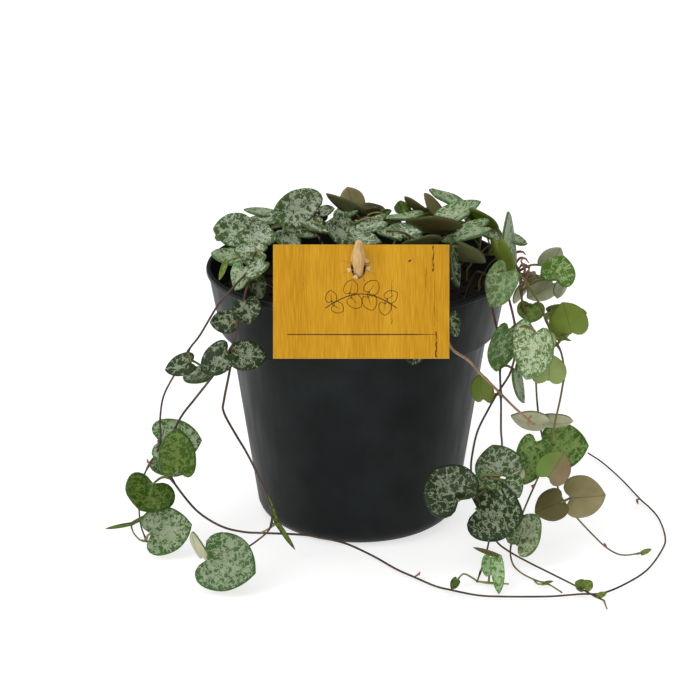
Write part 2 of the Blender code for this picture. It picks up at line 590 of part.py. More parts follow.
# Each stem's route runs outwards from its root. The part out of sight is in millimetres, and the rest is
# read off the photo. A leaf's row is what leaf_reading takes
STEMS = {
    "trail_far_left": {
        "route": [
            (-38, -14, 97), (-38, -26, 107), seen(256, 267, -38), seen(243, 277, -42),
            seen(231, 290, -45), seen(218, 305, -45), seen(200, 335, -42), seen(190, 348, -40),
            seen(184, 360, -39), seen(172, 379, -39), seen(163, 398, -39), seen(160, 421, -39),
            seen(160, 445, -36), seen(149, 465, -33), seen(144, 476, -31), seen(140, 495, -31),
            seen(139, 508, -34), seen(141, 526, -40), seen(147, 542, -44),
        ],
        "shoots": [
            [seen(147, 542, -44), seen(140, 540, -44), seen(133, 532, -43), seen(131, 524, -42)],
        ],
        "leaves": [
            (243, 267, 235, 291, 20, 0, -40, NEAR, UP, FACE),
            (191, 362, 164, 370, 21, 0, -44, NEAR, UP, FACE),
            (200, 365, 206, 381, 40, 15, -36, NEAR, UP, FACE),
            (158, 441, 203, 440, 44, 0, -33, NEAR, UP, FACE),
            (157, 457, 197, 466, 32, 0, (-26, -26), NEAR, UP, FACE),
            (150, 536, 193, 526, 46, 18, -48, NEAR, UP, FACE),
            (131, 524, 104, 529, 4, 0, -42, NEAR, UP, FACE),
            (133, 523, 157, 511, 4, 0, -43, NEAR, UP, FACE),
        ],
    },
    "trail_runner": {
        "route": [
            (-27, -26, 97), (-34, -30, 105), (-40, -37, 109.5), (-42, -44, 108.5), (-43.5, -48, 102),
            seen(238, 316, -48), seen(234, 341, -48), seen(222, 363, -48), seen(209, 381, -47),
            seen(194, 400, -46), seen(181, 417, -45), seen(170, 440, -44), seen(163, 460, -44),
            seen(169, 475, -45), seen(187, 500, -46), seen(202, 515, -47), seen(223, 527, -48),
            seen(244, 532, -49), seen(262, 533, -50), seen(289, 534, -50), seen(309, 535.5, -50),
            seen(325, 538.5, -51), seen(347, 544, -52), on_table(373, 556), on_table(396, 569),
            on_table(414, 577), on_table(435, 586), on_table(451, 590), on_table(476, 595),
            on_table(499, 596.5), on_table(546, 596.5), on_table(569, 595), on_table(582, 594),
            on_table(603, 593), on_table(627, 583), on_table(648, 569), on_table(663, 548), on_table(665, 536),
            on_table(659, 519), on_table(650, 508), on_table(640, 499), on_table(622, 480), on_table(603, 463),
            on_table(588, 453),
        ],
        "branches": [
            [
                seen(234, 341, -48), seen(230, 369, -50), seen(224, 400, -52), seen(224, 413, -53),
                seen(239, 440, -55), seen(244, 448, -55), seen(254, 467, -56), seen(264, 490, -57),
                seen(271, 508, -57), seen(272, 519, -57), seen(269, 530, -58), seen(258, 540, -60),
                seen(246, 548, -63), seen(232, 555, -66), seen(218, 558, -68), seen(207, 557, -70),
            ],
        ],
        "shoots": [
            [seen(262, 533, -50), seen(270, 528, -51), seen(277, 523, -52)],
        ],
        "leaves": [
            (256, 280, 262, 300, 16, 0, -36, NEAR, UP, FACE),
            (245, 301, 250, 325, 29, 0, -52, NEAR, UP, FACE),
            (234, 321, 209, 322, 23, 0, -46, FAR, UP, FACE),
            (227, 352, 200, 372, 30, 0, -50, NEAR, UP, FACE),
            (236, 355, 268, 357, 29, 0, -52, NEAR, UP, FACE),
            (178, 471, 177, 427, 36, 0, (-50, -50), FAR, UP, FACE),
            (154, 483, 139, 511, 50, 0, -45, NEAR, UP, FACE),
            (277, 523, 267, 493, 5, 0, -52, FAR, UP, FACE),
            (277, 523, 296, 551, 5, 0, -55, NEAR, UP, FACE),
            (208, 559, 257, 575, 56, 22, -76.5, NEAR, UP, FACE),
            (203, 556, 192, 531, 13, 0, -66, FAR, UP, BACK),
        ],
    },
    "crown_left_low": {
        "route": [
            (-41, -4, 97), (-41, -13, 110), (-41, -21, 113),
        ],
        "leaves": [
            (241, 258, 210, 253, 17, 12, -14, NEAR, UP, FACE),
            (258, 262, 240, 255, 15, 0, -24, NEAR, UP, FACE),
            (264, 262, 245, 279, 15, 10, -49, NEAR, UP, FACE),
            (226, 262, 219, 281, 6, 0, -24, NEAR, UP, FACE),
            (263, 252, 233, 250, 19, 12, -19, NEAR, UP, FACE),
        ],
    },
    "crown_left_top": {
        "route": [
            (-32, 11, 97), (-35, 14, 115), (-39, 6, 118), (-43, -3, 117),
        ],
        "leaves": [
            (246, 231, 212, 229, 34, 0, -6, NEAR, UP, FACE),
            (244, 229, 279, 240, 27, 13.5, -6, NEAR, UP, FACE),
            (271, 213, 243, 209, 9, 11, 16, FAR, UP, FACE),
            (274, 219, 247, 219, 12, 11, 8, NEAR, UP, FACE),
        ],
    },
    "crown_mid_left": {
        "route": [
            (-15, 6, 97), (-15, 8, 118), (-16, 6, 124), (-19, 0, 123), (-25, -10, 121),
        ],
        "leaves": [
            (317, 212, 271, 213, 48, 19, 3, NEAR, UP, FACE),
            (320, 212, 335, 208, 11, 0, 8, NEAR, UP, FACE),
            (283, 230, 300, 252, 23, 0, -18, NEAR, UP, FACE),
            (327, 230, 299, 222, 9, 11, -9, FAR, UP, FACE),
            (300, 230, 318, 236, 14, 9, -12, NEAR, UP, FACE),
        ],
    },
    "crown_mid": {
        "route": [
            (3, 3, 97), (3, 8, 117), (2, 8, 121), (0, 2, 122), (-4, -8, 121), (-5, -18, 119),
        ],
        "shoots": [
            [seen(364, 215, 8), seen(373, 213, 9), seen(381, 213, 9)],
        ],
        "leaves": [
            (334, 220, 357, 247, 27, 0, -22, NEAR, UP, FACE),
            (354, 209, 347, 186, 25, 0, 14, FAR, UP, BACK),
            (360, 214, 325, 193, 9, 12, 8, FAR, UP, BACK),
            (354, 211, 324, 224, 8, 12, 4, NEAR, UP, FACE),
            (382, 214, 392, 210, 7, 0, 9, NEAR, UP, FACE),
            (383, 221, 352, 230, 16, 12, -8, NEAR, UP, FACE),
            (352, 235, 383, 242, 15, 12, -28, NEAR, UP, FACE),
        ],
    },
    "crown_mid_right": {
        "route": [
            (19, 6, 97), (20, 8, 116), (21, 5, 120), (22, -3, 120), (24, -12, 118), (26, -24, 116),
        ],
        "leaves": [
            (405, 212, 400, 200, 14, 7, 14, FAR, UP, FACE),
            (424, 212, 404, 196, 6, 9, 12, FAR, UP, BACK),
            (439, 213, 423, 193, 13, 10, 9, FAR, DOWN, BACK),
            (418, 214, 379, 219, 8, 15, 0, NEAR, UP, FACE),
            (421, 234, 386, 227, 17, 13, -14, NEAR, UP, FACE),
            (436, 239, 401, 244, 6, 12, -36, NEAR, UP, BACK),
            (384, 230, 402, 240, 12, 10, -26, NEAR, UP, FACE),
        ],
    },
    "crown_right": {
        "route": [
            (36, 7, 97), (38, 3, 116), (39, -4, 120), (43, -12, 120), (46, -20, 117), (42, -30, 115),
        ],
        "leaves": [
            (462, 204, 428, 189, 13, 14, 17, FAR, UP, FACE),
            (441, 218, 482, 201, 20, 17, -2, FAR, UP, FACE),
            (484, 226, 440, 241, 17, 18, -24, NEAR, UP, FACE),
            (454, 228, 403, 220, 12, 18, -20, NEAR, UP, BACK),
            (471, 212, 500, 229, 8, 12, -6, NEAR, UP, BACK),
            (452, 247, 459, 290, 12, 15, -42, NEAR, UP, FACE),
            (454, 248, 487, 262, 14, 12, -34, NEAR, UP, BACK),
            (487, 232, 498, 241, 12, 8, -12, NEAR, UP, FACE),
        ],
    },
    "trail_right_front": {
        "route": [
            (41, -20, 97), (44, -25, 108), (46, -31, 111), seen(489, 279, -37), seen(491, 300, -41),
            seen(494, 316, -42), seen(498, 334, -42), seen(500, 350, -41), seen(500, 373, -40),
            seen(501, 400, -40), seen(501, 430, -41), seen(502, 446, -36), seen(500, 470, -34),
            seen(496, 500, -37), seen(492, 525, -42), seen(489, 541, -47), seen(485, 558, -54),
            on_table(477, 582),
        ],
        "shoots": [
            [on_table(477, 582), on_table(471, 577, 3), on_table(463, 574, 5), on_table(456, 582, 3)],
            [on_table(478, 583), on_table(490, 583), on_table(509, 584)],
        ],
        "leaves": [
            (507, 271, 489, 308, 29, 0, -45, NEAR, UP, FACE),
            (484, 399, 481, 373, 21, 0, -42.5, FAR, UP, BACK),
            (516, 371, 524, 404, 12, 12, -45, NEAR, UP, FACE),
            (497, 560, 499, 595, 13, 0, (-72, -82), NEAR, UP, FACE),
            (491, 558, 486, 577, 16, 0, (-70, -76), NEAR, UP, FACE),
            (498, 556, 472, 547, 5, 0, -66, NEAR, UP, BACK),
            (457, 580, 451, 589, 9, 4, (-78, -85), NEAR, UP, FACE),
        ],
    },
    "trail_right_mid": {
        "route": [
            (47, -13, 97), (51, -20, 108), (53, -27, 110), seen(505, 286, -36), seen(510, 303, -44),
            seen(514, 320, -46), seen(516, 334, -46), seen(516, 350, -45), seen(511, 371, -45),
            seen(505, 382, -46), seen(497, 394, -47), seen(488, 410, -48), seen(478, 430, -49),
            seen(473, 450, -49), seen(471, 470, -50), seen(475, 490, -51), seen(483, 510, -52),
            seen(490, 528, -53), seen(497, 542, -55), seen(510, 552, -58), on_table(528, 562),
            on_table(548, 572), on_table(572, 584), on_table(587, 592, 3.4), on_table(605, 601),
        ],
        "shoots": [
            [on_table(605, 601), on_table(607, 609)],
        ],
        "leaves": [
            (510, 329, 496, 373, 30, 15, -46, NEAR, DOWN, FACE),
            (535, 331, 526, 381, 38, 19, -53, NEAR, UP, FACE),
            (459, 501, 432, 468, 56, 0, -58, FAR, UP, FACE),
            (476, 509, 525, 517, 60, 0, -58, NEAR, UP, FACE),
            (501, 476, 492, 444, 46, 0, -46, FAR, UP, FACE),
            (486, 487, 486, 467, 26, 10, -51, FAR, UP, FACE),
            (505, 480, 520, 498, 26, 10, -54, NEAR, UP, FACE),
            (513, 481, 524, 469, 12, 0, -50, FAR, UP, BACK),
            (584, 591, 575, 585, 12, 0, -80, NEAR, UP, FACE),
            (584, 591, 592, 584, 12, 0, -80, NEAR, UP, FACE),
            (598, 596, 607, 593, 6, 0, (-87, -84), NEAR, UP, FACE),
        ],
    },
    "trail_right_outer": {
        "route": [
            (48, 1, 97), (52, -6, 107), (55, -16, 111), seen(519, 274, -26), seen(530, 288, -30),
            seen(540, 305, -31), seen(548, 325, -32), seen(554, 340, -32), seen(561, 352, -32),
            seen(564, 372, -32), seen(561, 395, -33), seen(556, 418, -36), seen(552, 438, -38),
            seen(545, 462, -42), seen(537, 480, -45), seen(529, 498, -47), seen(520, 520, -49),
            seen(511, 545, -51), on_table(512, 562), on_table(520, 572), on_table(535, 580),
            on_table(548, 584), on_table(562, 592.5),
        ],
        "shoots": [
            [on_table(522, 585), on_table(538, 584), on_table(548, 584)],
        ],
        "leaves": [
            (560, 337, 572, 341, 3, 0, -32, NEAR, UP, FACE),
            (571, 333, 562, 301, 38, 0, (-28, -28), NEAR, UP, BACK),
            (550, 312, 588, 313, 13, 15, -22, FAR, UP, BACK),
            (548, 380, 550, 353, 33, 0, (-36, -36), FAR, UP, BACK),
            (546, 356, 551, 331, 14, 10, -36, FAR, UP, BACK),
            (537, 442, 524, 486, 33, 0, (-43, -43), NEAR, UP, FACE),
            (517, 545, 539, 514, 29, 0, -56, FAR, UP, FACE),
            (544, 583, 554, 581, 3, 4, (-76, -75), NEAR, UP, FACE),
        ],
    },
    "trail_right_back": {
        "route": [
            (44, 16, 97), (52, 12, 108), (58, 2, 110), seen(519, 272, -8), seen(521, 290, -17),
            seen(523, 306, -20), seen(528, 320, -22), seen(535, 340, -23), seen(536, 360, -24),
            seen(536, 380, -25), seen(537, 400, -26), seen(539, 418, -28), seen(543, 440, -28),
            seen(550, 462, -29), seen(556, 480, -30), seen(559, 492, -30), seen(562, 499, -31),
            seen(570, 510, -32), seen(577, 518, -33), seen(592, 534, -36), on_table(607, 548, 3),
            on_table(622, 555), on_table(642, 553),
        ],
        "leaves": [
            (546, 266, 561, 247, 22, 0, -6, FAR, UP, BACK),
            (556, 280, 564, 255, 34, 0, -18, FAR, UP, FACE),
            (562, 282, 557, 299, 13, 0, -16, NEAR, UP, BACK),
            (552, 282, 526, 298, 25, 0, -10, NEAR, UP, BACK),
            (525, 284, 513, 304, 10, 0, -12, NEAR, UP, BACK),
            (531, 272, 531, 283, 10, 0, -10, NEAR, UP, BACK),
            (531, 304, 531, 323, 27, 0, -21, NEAR, UP, FACE),
            (543, 423, 510, 415, 18, 0, -34, NEAR, UP, BACK),
            (546, 420, 574, 421, 14, 11, -24, NEAR, UP, BACK),
            (548, 447, 590, 446, 45, 0, (-22, -22), NEAR, UP, FACE),
            (548, 477, 565, 451, 33, 0, -48, FAR, UP, BACK),
            (570, 498, 607, 495, 41, 0, -34, NEAR, UP, BACK),
            (561, 501, 534, 513, 31, 0, -38, NEAR, UP, BACK),
            (642, 553, 652, 549, 5, 0, (-51, -47), NEAR, UP, FACE),
        ],
    },
    "crown_right_edge": {
        "route": [
            (33, -10, 97), (42, -14, 111), (50, -18, 114),
        ],
        "leaves": [
            (511, 262, 507, 210, 17, 19, -24, FAR, UP, FACE),
            (499, 243, 513, 277, 12, 13, -32, NEAR, UP, BACK),
            (509, 236, 528, 244, 11, 0, -14, NEAR, UP, FACE),
        ],
    },
    "flower_stalk": {
        "radius": STALK_RADIUS,
        "route": [
            (18, -38, 97), (22, -45, 108), (26, -52, 110), (30, -56, 103), seen(450, 346, -58),
            seen(468, 360, -58), seen(480, 373, -58), seen(500, 393, -57), seen(515, 408, -56),
            seen(531, 422, -55),
        ],
        "branches": [
            [(30, -56, 103), (28, -59, 98), (24, -61.5, 93)],
        ],
        "leaves": [
            (451, 316, 458, 337, 15, 0, -54, NEAR, UP, FACE),
            (416, 341, 412, 366, 24, 0, -60, NEAR, UP, FACE),
        ],
    },
}


def main():
    clear_scene()
    home = collection("potted_string_of_hearts")
    cutters = {name: collection(name + "_cutters", hidden=True) for name in ("pot", "soil", "card")}
    skin = material("leaf", (0.10, 0.16, 0.07), 0.5)
    roots = []
    for name, plan in plant_plans().items():
        radius = plan.get("radius", STEM_RADIUS)
        leafy_stem(name, plan, radius, skin, home)
        roots.append((plan["route"][0][0], plan["route"][0][1], radius))
    make_pot(home, cutters["pot"])
    make_soil(home, cutters["soil"], roots)
    make_card(home, cutters["card"])
    make_pick(home)


main()
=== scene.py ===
# A string of hearts in a 12 cm nursery pot: the finish of every surface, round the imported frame
import math
import random

import bpy
from mathutils import Matrix, Vector, noise
from mathutils.geometry import intersect_point_line


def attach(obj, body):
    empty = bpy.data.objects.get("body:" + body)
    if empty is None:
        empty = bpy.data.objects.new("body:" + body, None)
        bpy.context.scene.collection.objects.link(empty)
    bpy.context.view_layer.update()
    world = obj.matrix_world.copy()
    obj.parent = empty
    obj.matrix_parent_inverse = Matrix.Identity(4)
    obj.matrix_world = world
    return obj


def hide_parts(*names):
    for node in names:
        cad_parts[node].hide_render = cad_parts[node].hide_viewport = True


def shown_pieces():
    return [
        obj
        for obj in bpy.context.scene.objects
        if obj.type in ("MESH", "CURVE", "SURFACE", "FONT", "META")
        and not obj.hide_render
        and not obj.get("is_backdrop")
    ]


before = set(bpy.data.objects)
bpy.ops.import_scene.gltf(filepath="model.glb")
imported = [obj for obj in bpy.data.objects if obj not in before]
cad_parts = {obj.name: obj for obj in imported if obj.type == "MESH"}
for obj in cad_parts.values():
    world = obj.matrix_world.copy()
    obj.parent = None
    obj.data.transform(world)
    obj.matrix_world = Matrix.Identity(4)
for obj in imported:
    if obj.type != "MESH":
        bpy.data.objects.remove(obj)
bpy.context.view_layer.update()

mm = 0.001


# small helpers that every piece uses
def colour(code):
    # an sRGB hex value as the linear colour that a shader takes
    parts = [int(code[i : i + 2], 16) / 255 for i in (1, 3, 5)]
    return (*(c / 12.92 if c <= 0.04045 else ((c + 0.055) / 1.055) ** 2.4 for c in parts), 1.0)


def add(tree, kind, inputs=None, **settings):
    # one node with its settings, its values and its links
    made = tree.nodes.new(kind)
    for name, value in settings.items():
        setattr(made, name, value)
    for socket, value in (inputs or {}).items():
        if isinstance(value, bpy.types.NodeSocket):
            tree.links.new(value, made.inputs[socket])
        else:
            made.inputs[socket].default_value = value
    return made


def newMaterial(name, roughness, ior=1.5):
    made = bpy.data.materials.new(name)
    made.use_nodes = True
    shader = made.node_tree.nodes["Principled BSDF"]
    shader.inputs["Roughness"].default_value = roughness
    shader.inputs["IOR"].default_value = ior
    return made, made.node_tree, shader


def selectOnly(*pieces):
    if bpy.context.object and bpy.context.object.mode != "OBJECT":
        bpy.ops.object.mode_set(mode="OBJECT")
    bpy.ops.object.select_all(action="DESELECT")
    for piece in pieces:
        piece.select_set(True)
    bpy.context.view_layer.objects.active = pieces[0]


def joinAll(pieces):
    selectOnly(*pieces)
    if len(pieces) > 1:
        bpy.ops.object.join()
    return bpy.context.object


def settle(piece):
    # the place goes into the mesh, and the object to the origin
    selectOnly(piece)
    bpy.ops.object.transform_apply(location=True, rotation=True, scale=True)
    return piece


def applyAll(piece):
    selectOnly(piece)
    for modifier in list(piece.modifiers):
        bpy.ops.object.modifier_apply(modifier=modifier.name)
    return piece


def handOver(piece, name, slot, *nodes):
    # the finished piece goes to the frame in place of its CAD nodes
    piece.name = name
    piece.data.name = name
    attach(piece, "root")
    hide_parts(*nodes)
    return piece


# the eye: where the photo was taken from. Places read off it are pixels across and down
eye = {"x": -3.4, "y": -745.0, "z": 341.0, "pitch": 20.1, "pixelsPerSlope": 1980.0, "middlePixel": 350.0}
eyePlace = Vector((eye["x"], eye["y"], eye["z"]))
eyePitch = math.radians(eye["pitch"])

bpy.ops.object.camera_add(location=eyePlace * mm, rotation=(math.radians(90) - eyePitch, 0, 0))
camera = bpy.context.object
camera.data.sensor_width = 36
camera.data.lens = 36 * eye["pixelsPerSlope"] / (2 * eye["middlePixel"])
camera.data.clip_end = 20
bpy.context.scene.camera = camera


def ray(across, down):
    right = (across - eye["middlePixel"]) / eye["pixelsPerSlope"]
    rise = (eye["middlePixel"] - down) / eye["pixelsPerSlope"]
    sine, cosine = math.sin(eyePitch), math.cos(eyePitch)
    return Vector((right, cosine + rise * sine, rise * cosine - sine))


def seen(across, down, depth):
    # the place that shows at a pixel and lies at this depth along Y
    direction = ray(across, down)
    return eyePlace + direction * ((depth - eye["y"]) / direction.y)


def onTable(across, down, height=1.5):
    # the place that shows at a pixel and lies this high above the table
    direction = ray(across, down)
    return eyePlace + direction * ((height - eye["z"]) / direction.z)


# materials of the plant
# each leaf's look, which its points keep: how much of its face is green, then its silver, its green and its back,
# and where one half of the back is flushed, that half's colour
leafTones = {
    "net": (0.67, "#94A184", "#20350D", "#75704A"),
    "mot": (0.54, "#B6C2A8", "#48622F", "#8B8658"),
    "vein": (0.62, "#9DB088", "#4C7030", "#8B8658"),
    "veil": (0.58, "#A6B890", "#64824C", "#8B8658"),
    "sil": (0.37, "#A4B191", "#42692A", "#A5AA84"),
    # a pale silver leaf with its silver and green lighter than on the others: partly its own pale silver, partly
    # painted light on leaves turned away from the lamps
    "mist": (0.42, "#C2CFAA", "#5E7A40", "#A5AA84"),
    "fresh": (0.52, "#6B7F37", "#33530E", "#73873A"),
    "bright": (0.62, "#A9BF80", "#527A26", "#73873A"),
    "spring": (0.42, "#93AC62", "#436E20", "#73873A"),
    "sprout": (0.45, "#B4C79C", "#4E8A30", "#73873A"),
    "lime": (0.60, "#8FA64C", "#64802A", "#728A2E"),
    "dew": (0.50, "#8A9A6C", "#3F5620", "#A0B668"),
    "mix": (0.50, "#8A9A6C", "#3F5620", "#8E7A5C", "#6B8C3A"),
    "pale": (0.50, "#8A9A6C", "#3F5620", "#BDC19C"),
    "pink": (0.50, "#8A9A6C", "#3F5620", "#A69C6E"),
    "olive": (0.60, "#8A9A6C", "#3F5620", "#6E683E"),
    # a dark green back: painted shade, for leaf backs that lie in shade in the crown
    "deep": (0.60, "#8A9A6C", "#3F5620", "#5E6640"),
}


def leafFaceMaterial():
    # living leaf, waxy upper face: soft sheen, silver marbling over green, a green margin
    made, tree, shader = newMaterial("leaf_upper_waxy", 0.42, 1.42)
    shader.inputs["Specular IOR Level"].default_value = 0.3
    place = add(tree, "ShaderNodeAttribute", attribute_name="leafPlace").outputs["Vector"]
    silver = add(tree, "ShaderNodeAttribute", attribute_name="leafSilver")
    green = add(tree, "ShaderNodeAttribute", attribute_name="leafGreen")
    share = add(tree, "ShaderNodeAttribute", attribute_name="leafShare").outputs["Fac"]
    edge = add(tree, "ShaderNodeAttribute", attribute_name="leafEdge").outputs["Fac"]
    # places wander by about 1 mm, so that every vein is crooked
    wander = add(tree, "ShaderNodeTexNoise", {"Vector": place, "Scale": 0.55, "Detail": 3.0})
    shift = add(tree, "ShaderNodeVectorMath", {0: wander.outputs["Color"], 1: (0.5, 0.5, 0.5)}, operation="SUBTRACT")
    bent = add(tree, "ShaderNodeVectorMath", {0: shift.outputs[0], 1: (4.0, 4.0, 0), 2: place},
               operation="MULTIPLY_ADD").outputs[0]
    # a crooked silver net parts green patches, 2 mm apart on a silver leaf and 3.4 mm on a green one
    pitch = add(tree, "ShaderNodeMapRange", {0: share, 1: 0.3, 2: 0.7, 3: 0.5, 4: 0.29}).outputs[0]
    line = add(tree, "ShaderNodeMapRange", {0: share, 1: 0.3, 2: 0.7, 3: 0.26, 4: 0.09}).outputs[0]
    inner = add(tree, "ShaderNodeTexVoronoi", {"Vector": bent, "Scale": pitch}, feature="DISTANCE_TO_EDGE")
    patch = add(tree, "ShaderNodeTexVoronoi", {"Vector": bent, "Scale": pitch})
    own = add(tree, "ShaderNodeSeparateColor", {0: patch.outputs["Color"]})
    # ragged edges of flecks 0.4 mm across
    fleck = add(tree, "ShaderNodeTexVoronoi", {"Vector": bent, "Scale": 2.4})
    cell = add(tree, "ShaderNodeSeparateColor", {0: fleck.outputs["Color"]})
    level = add(tree, "ShaderNodeMath", {0: inner.outputs["Distance"], 1: line}, operation="SUBTRACT")
    level = add(tree, "ShaderNodeMath", {0: cell.outputs[0], 1: 0.34, 2: level.outputs[0]}, operation="MULTIPLY_ADD")
    level = add(tree, "ShaderNodeMath", {0: own.outputs[0], 1: 0.2, 2: level.outputs[0]}, operation="MULTIPLY_ADD")
    level = add(tree, "ShaderNodeMath", {0: edge, 1: 0.18, 2: level.outputs[0]}, operation="MULTIPLY_ADD")
    # silver along the midrib and along side veins 4.8 mm apart
    axes = add(tree, "ShaderNodeSeparateXYZ", {0: bent})
    across = add(tree, "ShaderNodeMath", {0: axes.outputs[0]}, operation="ABSOLUTE")
    climb = add(tree, "ShaderNodeMath", {0: across.outputs[0], 1: -0.8, 2: axes.outputs[1]}, operation="MULTIPLY_ADD")
    side = add(tree, "ShaderNodeMath", {0: climb.outputs[0], 1: 2.4}, operation="PINGPONG")
    vein = add(tree, "ShaderNodeMath", {0: across.outputs[0], 1: side.outputs[0]}, operation="MINIMUM")
    vein = add(tree, "ShaderNodeMapRange", {0: vein.outputs[0], 1: 0.1, 2: 0.6, 3: 0.25, 4: 0.0})
    level = add(tree, "ShaderNodeMath", {0: level.outputs[0], 1: vein.outputs[0]}, operation="SUBTRACT")
    spot = add(tree, "ShaderNodeMapRange", {0: level.outputs[0], 1: 0.25, 2: 0.31}, interpolation_type="SMOOTHSTEP")
    margin = add(tree, "ShaderNodeMath", {0: cell.outputs[1], 1: 0.12, 2: edge}, operation="MULTIPLY_ADD")
    margin = add(tree, "ShaderNodeMapRange", {0: margin.outputs[0], 1: 1.0, 2: 1.03}, interpolation_type="SMOOTHSTEP")
    amount = add(tree, "ShaderNodeMath", {0: spot.outputs[0], 1: margin.outputs[0]}, operation="MAXIMUM")
    # the silver is a film of air under the skin, thin in places, with the green showing through
    cloud = add(tree, "ShaderNodeTexNoise", {"Vector": place, "Scale": 0.5, "Detail": 3.0})
    veiled = add(tree, "ShaderNodeMapRange", {0: cloud.outputs["Fac"], 1: 0.35, 2: 0.75, 3: 0.0, 4: 0.35})
    film = add(tree, "ShaderNodeMix", {0: veiled.outputs[0], 6: silver.outputs["Color"], 7: green.outputs["Color"]},
               data_type="RGBA")
    face = add(tree, "ShaderNodeMix", {0: amount.outputs[0], 6: film.outputs[2], 7: green.outputs["Color"]}, data_type="RGBA")
    tree.links.new(face.outputs[2], shader.inputs["Base Color"])
    dull = add(tree, "ShaderNodeMapRange", {0: amount.outputs[0], 3: 0.50, 4: 0.38})
    tree.links.new(dull.outputs[0], shader.inputs["Roughness"])
    grain = add(tree, "ShaderNodeTexNoise", {"Vector": place, "Scale": 3.0, "Detail": 2.0})
    relief = add(tree, "ShaderNodeMath", {0: amount.outputs[0], 1: 0.5, 2: grain.outputs["Fac"]}, operation="MULTIPLY_ADD")
    bump = add(tree, "ShaderNodeBump", {"Height": relief.outputs[0], "Strength": 0.25, "Distance": 0.0002})
    tree.links.new(bump.outputs[0], shader.inputs["Normal"])
    return made


def leafBackMaterial():
    # living leaf, matt underside: a flush over pale green, with one vein showing
    made, tree, shader = newMaterial("leaf_underside_matt", 0.55, 1.42)
    shader.inputs["Specular IOR Level"].default_value = 0.35
    place = add(tree, "ShaderNodeAttribute", attribute_name="leafPlace").outputs["Vector"]
    under = add(tree, "ShaderNodeAttribute", attribute_name="leafUnder").outputs["Color"]
    edge = add(tree, "ShaderNodeAttribute", attribute_name="leafEdge").outputs["Fac"]
    cloud = add(tree, "ShaderNodeTexNoise", {"Vector": place, "Scale": 0.2, "Detail": 4.0})
    flush = add(tree, "ShaderNodeMapRange", {0: cloud.outputs["Fac"], 1: 0.35, 2: 0.7, 3: 0.0, 4: 0.25})
    tint = add(tree, "ShaderNodeMix", {0: flush.outputs[0], 6: under, 7: colour("#6E4E38")}, data_type="RGBA")
    # the midrib is a darker line 0.5 mm wide, and the rim is darker too
    axes = add(tree, "ShaderNodeSeparateXYZ", {0: place})
    away = add(tree, "ShaderNodeMath", {0: axes.outputs[0]}, operation="ABSOLUTE")
    rib = add(tree, "ShaderNodeMapRange", {0: away.outputs[0], 1: 0.1, 2: 0.35, 3: 0.35, 4: 0.0},
              interpolation_type="SMOOTHSTEP")
    rim = add(tree, "ShaderNodeMapRange", {0: edge, 1: 0.93, 2: 1.0, 3: 0.0, 4: 0.5})
    line = add(tree, "ShaderNodeMath", {0: rib.outputs[0], 1: rim.outputs[0]}, operation="MAXIMUM")
    tint = add(tree, "ShaderNodeMix", {0: line.outputs[0], 6: tint.outputs[2], 7: colour("#4A4020")}, data_type="RGBA")
    tree.links.new(tint.outputs[2], shader.inputs["Base Color"])
    grain = add(tree, "ShaderNodeTexNoise", {"Vector": place, "Scale": 2.5, "Detail": 3.0})
    bump = add(tree, "ShaderNodeBump", {"Height": grain.outputs["Fac"], "Strength": 0.25, "Distance": 0.0002})
    tree.links.new(bump.outputs[0], shader.inputs["Normal"])
    return made


def stemMaterial(name, first, second, roughness):
    # living stem, thin bark: colour drifts between two tones over some 8 mm, with a fine grain
    made, tree, shader = newMaterial(name, roughness, 1.45)
    where = add(tree, "ShaderNodeTexCoord")
    drift = add(tree, "ShaderNodeTexNoise", {"Vector": where.outputs["Object"], "Scale": 120.0, "Detail": 3.0})
    spread = add(tree, "ShaderNodeMapRange", {0: drift.outputs["Fac"], 1: 0.38, 2: 0.62})
    tint = add(tree, "ShaderNodeMix", {0: spread.outputs[0], 6: colour(first), 7: colour(second)}, data_type="RGBA")
    tree.links.new(tint.outputs[2], shader.inputs["Base Color"])
    grain = add(tree, "ShaderNodeTexNoise", {"Vector": where.outputs["Object"], "Scale": 1500.0, "Detail": 2.0})
    bump = add(tree, "ShaderNodeBump", {"Height": grain.outputs["Fac"], "Strength": 0.3, "Distance": 0.0002})
    tree.links.new(bump.outputs[0], shader.inputs["Normal"])
    return made


leafFace = leafFaceMaterial()
leafBack = leafBackMaterial()
stemBark = stemMaterial("stem_brown_bark", "#3A2A1E", "#5C4634", 0.55)
oliveBark = stemMaterial("stem_olive_bark", "#5A5228", "#857A44", 0.5)
leafStalk = stemMaterial("leaf_stalk_olive", "#5E6030", "#84824C", 0.5)
youngShoot = stemMaterial("young_shoot_green", "#6E7C38", "#8C8A4A", 0.45)
driedBud = stemMaterial("bract_dried_pink", "#8A4E3C", "#B98A6C", 0.6)
stalkBark = stemMaterial("flower_stalk_tan_bark", "#7A6048", "#A68B6C", 0.55)
print("materials of the plant are ready")

# the leaf: modelled once, then copied
leaf = {
    "rimPoints": 36,
    "rings": (0.07, 0.13, 0.2, 0.25),  # the inset of each ring, for a disc of radius 1
    "hub": 0.36,  # how far along the leaf the disc's middle lies
    "stretch": 1.06,
    "tip": (0.08, 0.31),  # how far the tip stands out of the round outline, and the angle over which it fades
    # flat flanks, round lobes and a notch: how far each stands out, at which angle from the tip, and its spread
    "swells": ((-0.015, 0.8, 0.4), (0.08, 2.35, 0.55), (-0.2, math.pi, 0.33)),
    "thickness": 1.0,
    "rimThickness": 0.45,  # the edge's thickness as a share of the rest
    "dish": 0.07,  # how far the middle lies below the edge, as a share of the width
    "fold": 0.035,  # how far the halves rise from the midrib
    "ripple": 0.018,
}


def heart(angle):
    # a leaf's outline for a width and length of 1: its tip is at angle 0, and its notch at half a turn
    turn = abs(angle)
    point, fade = leaf["tip"]
    reach = 0.5 + point * math.exp(-turn / fade)
    for swell, place, spread in leaf["swells"]:
        reach += swell * math.exp(-(((turn - place) / spread) ** 2))
    return reach * math.sin(angle), leaf["hub"] + leaf["stretch"] * reach * math.cos(angle)


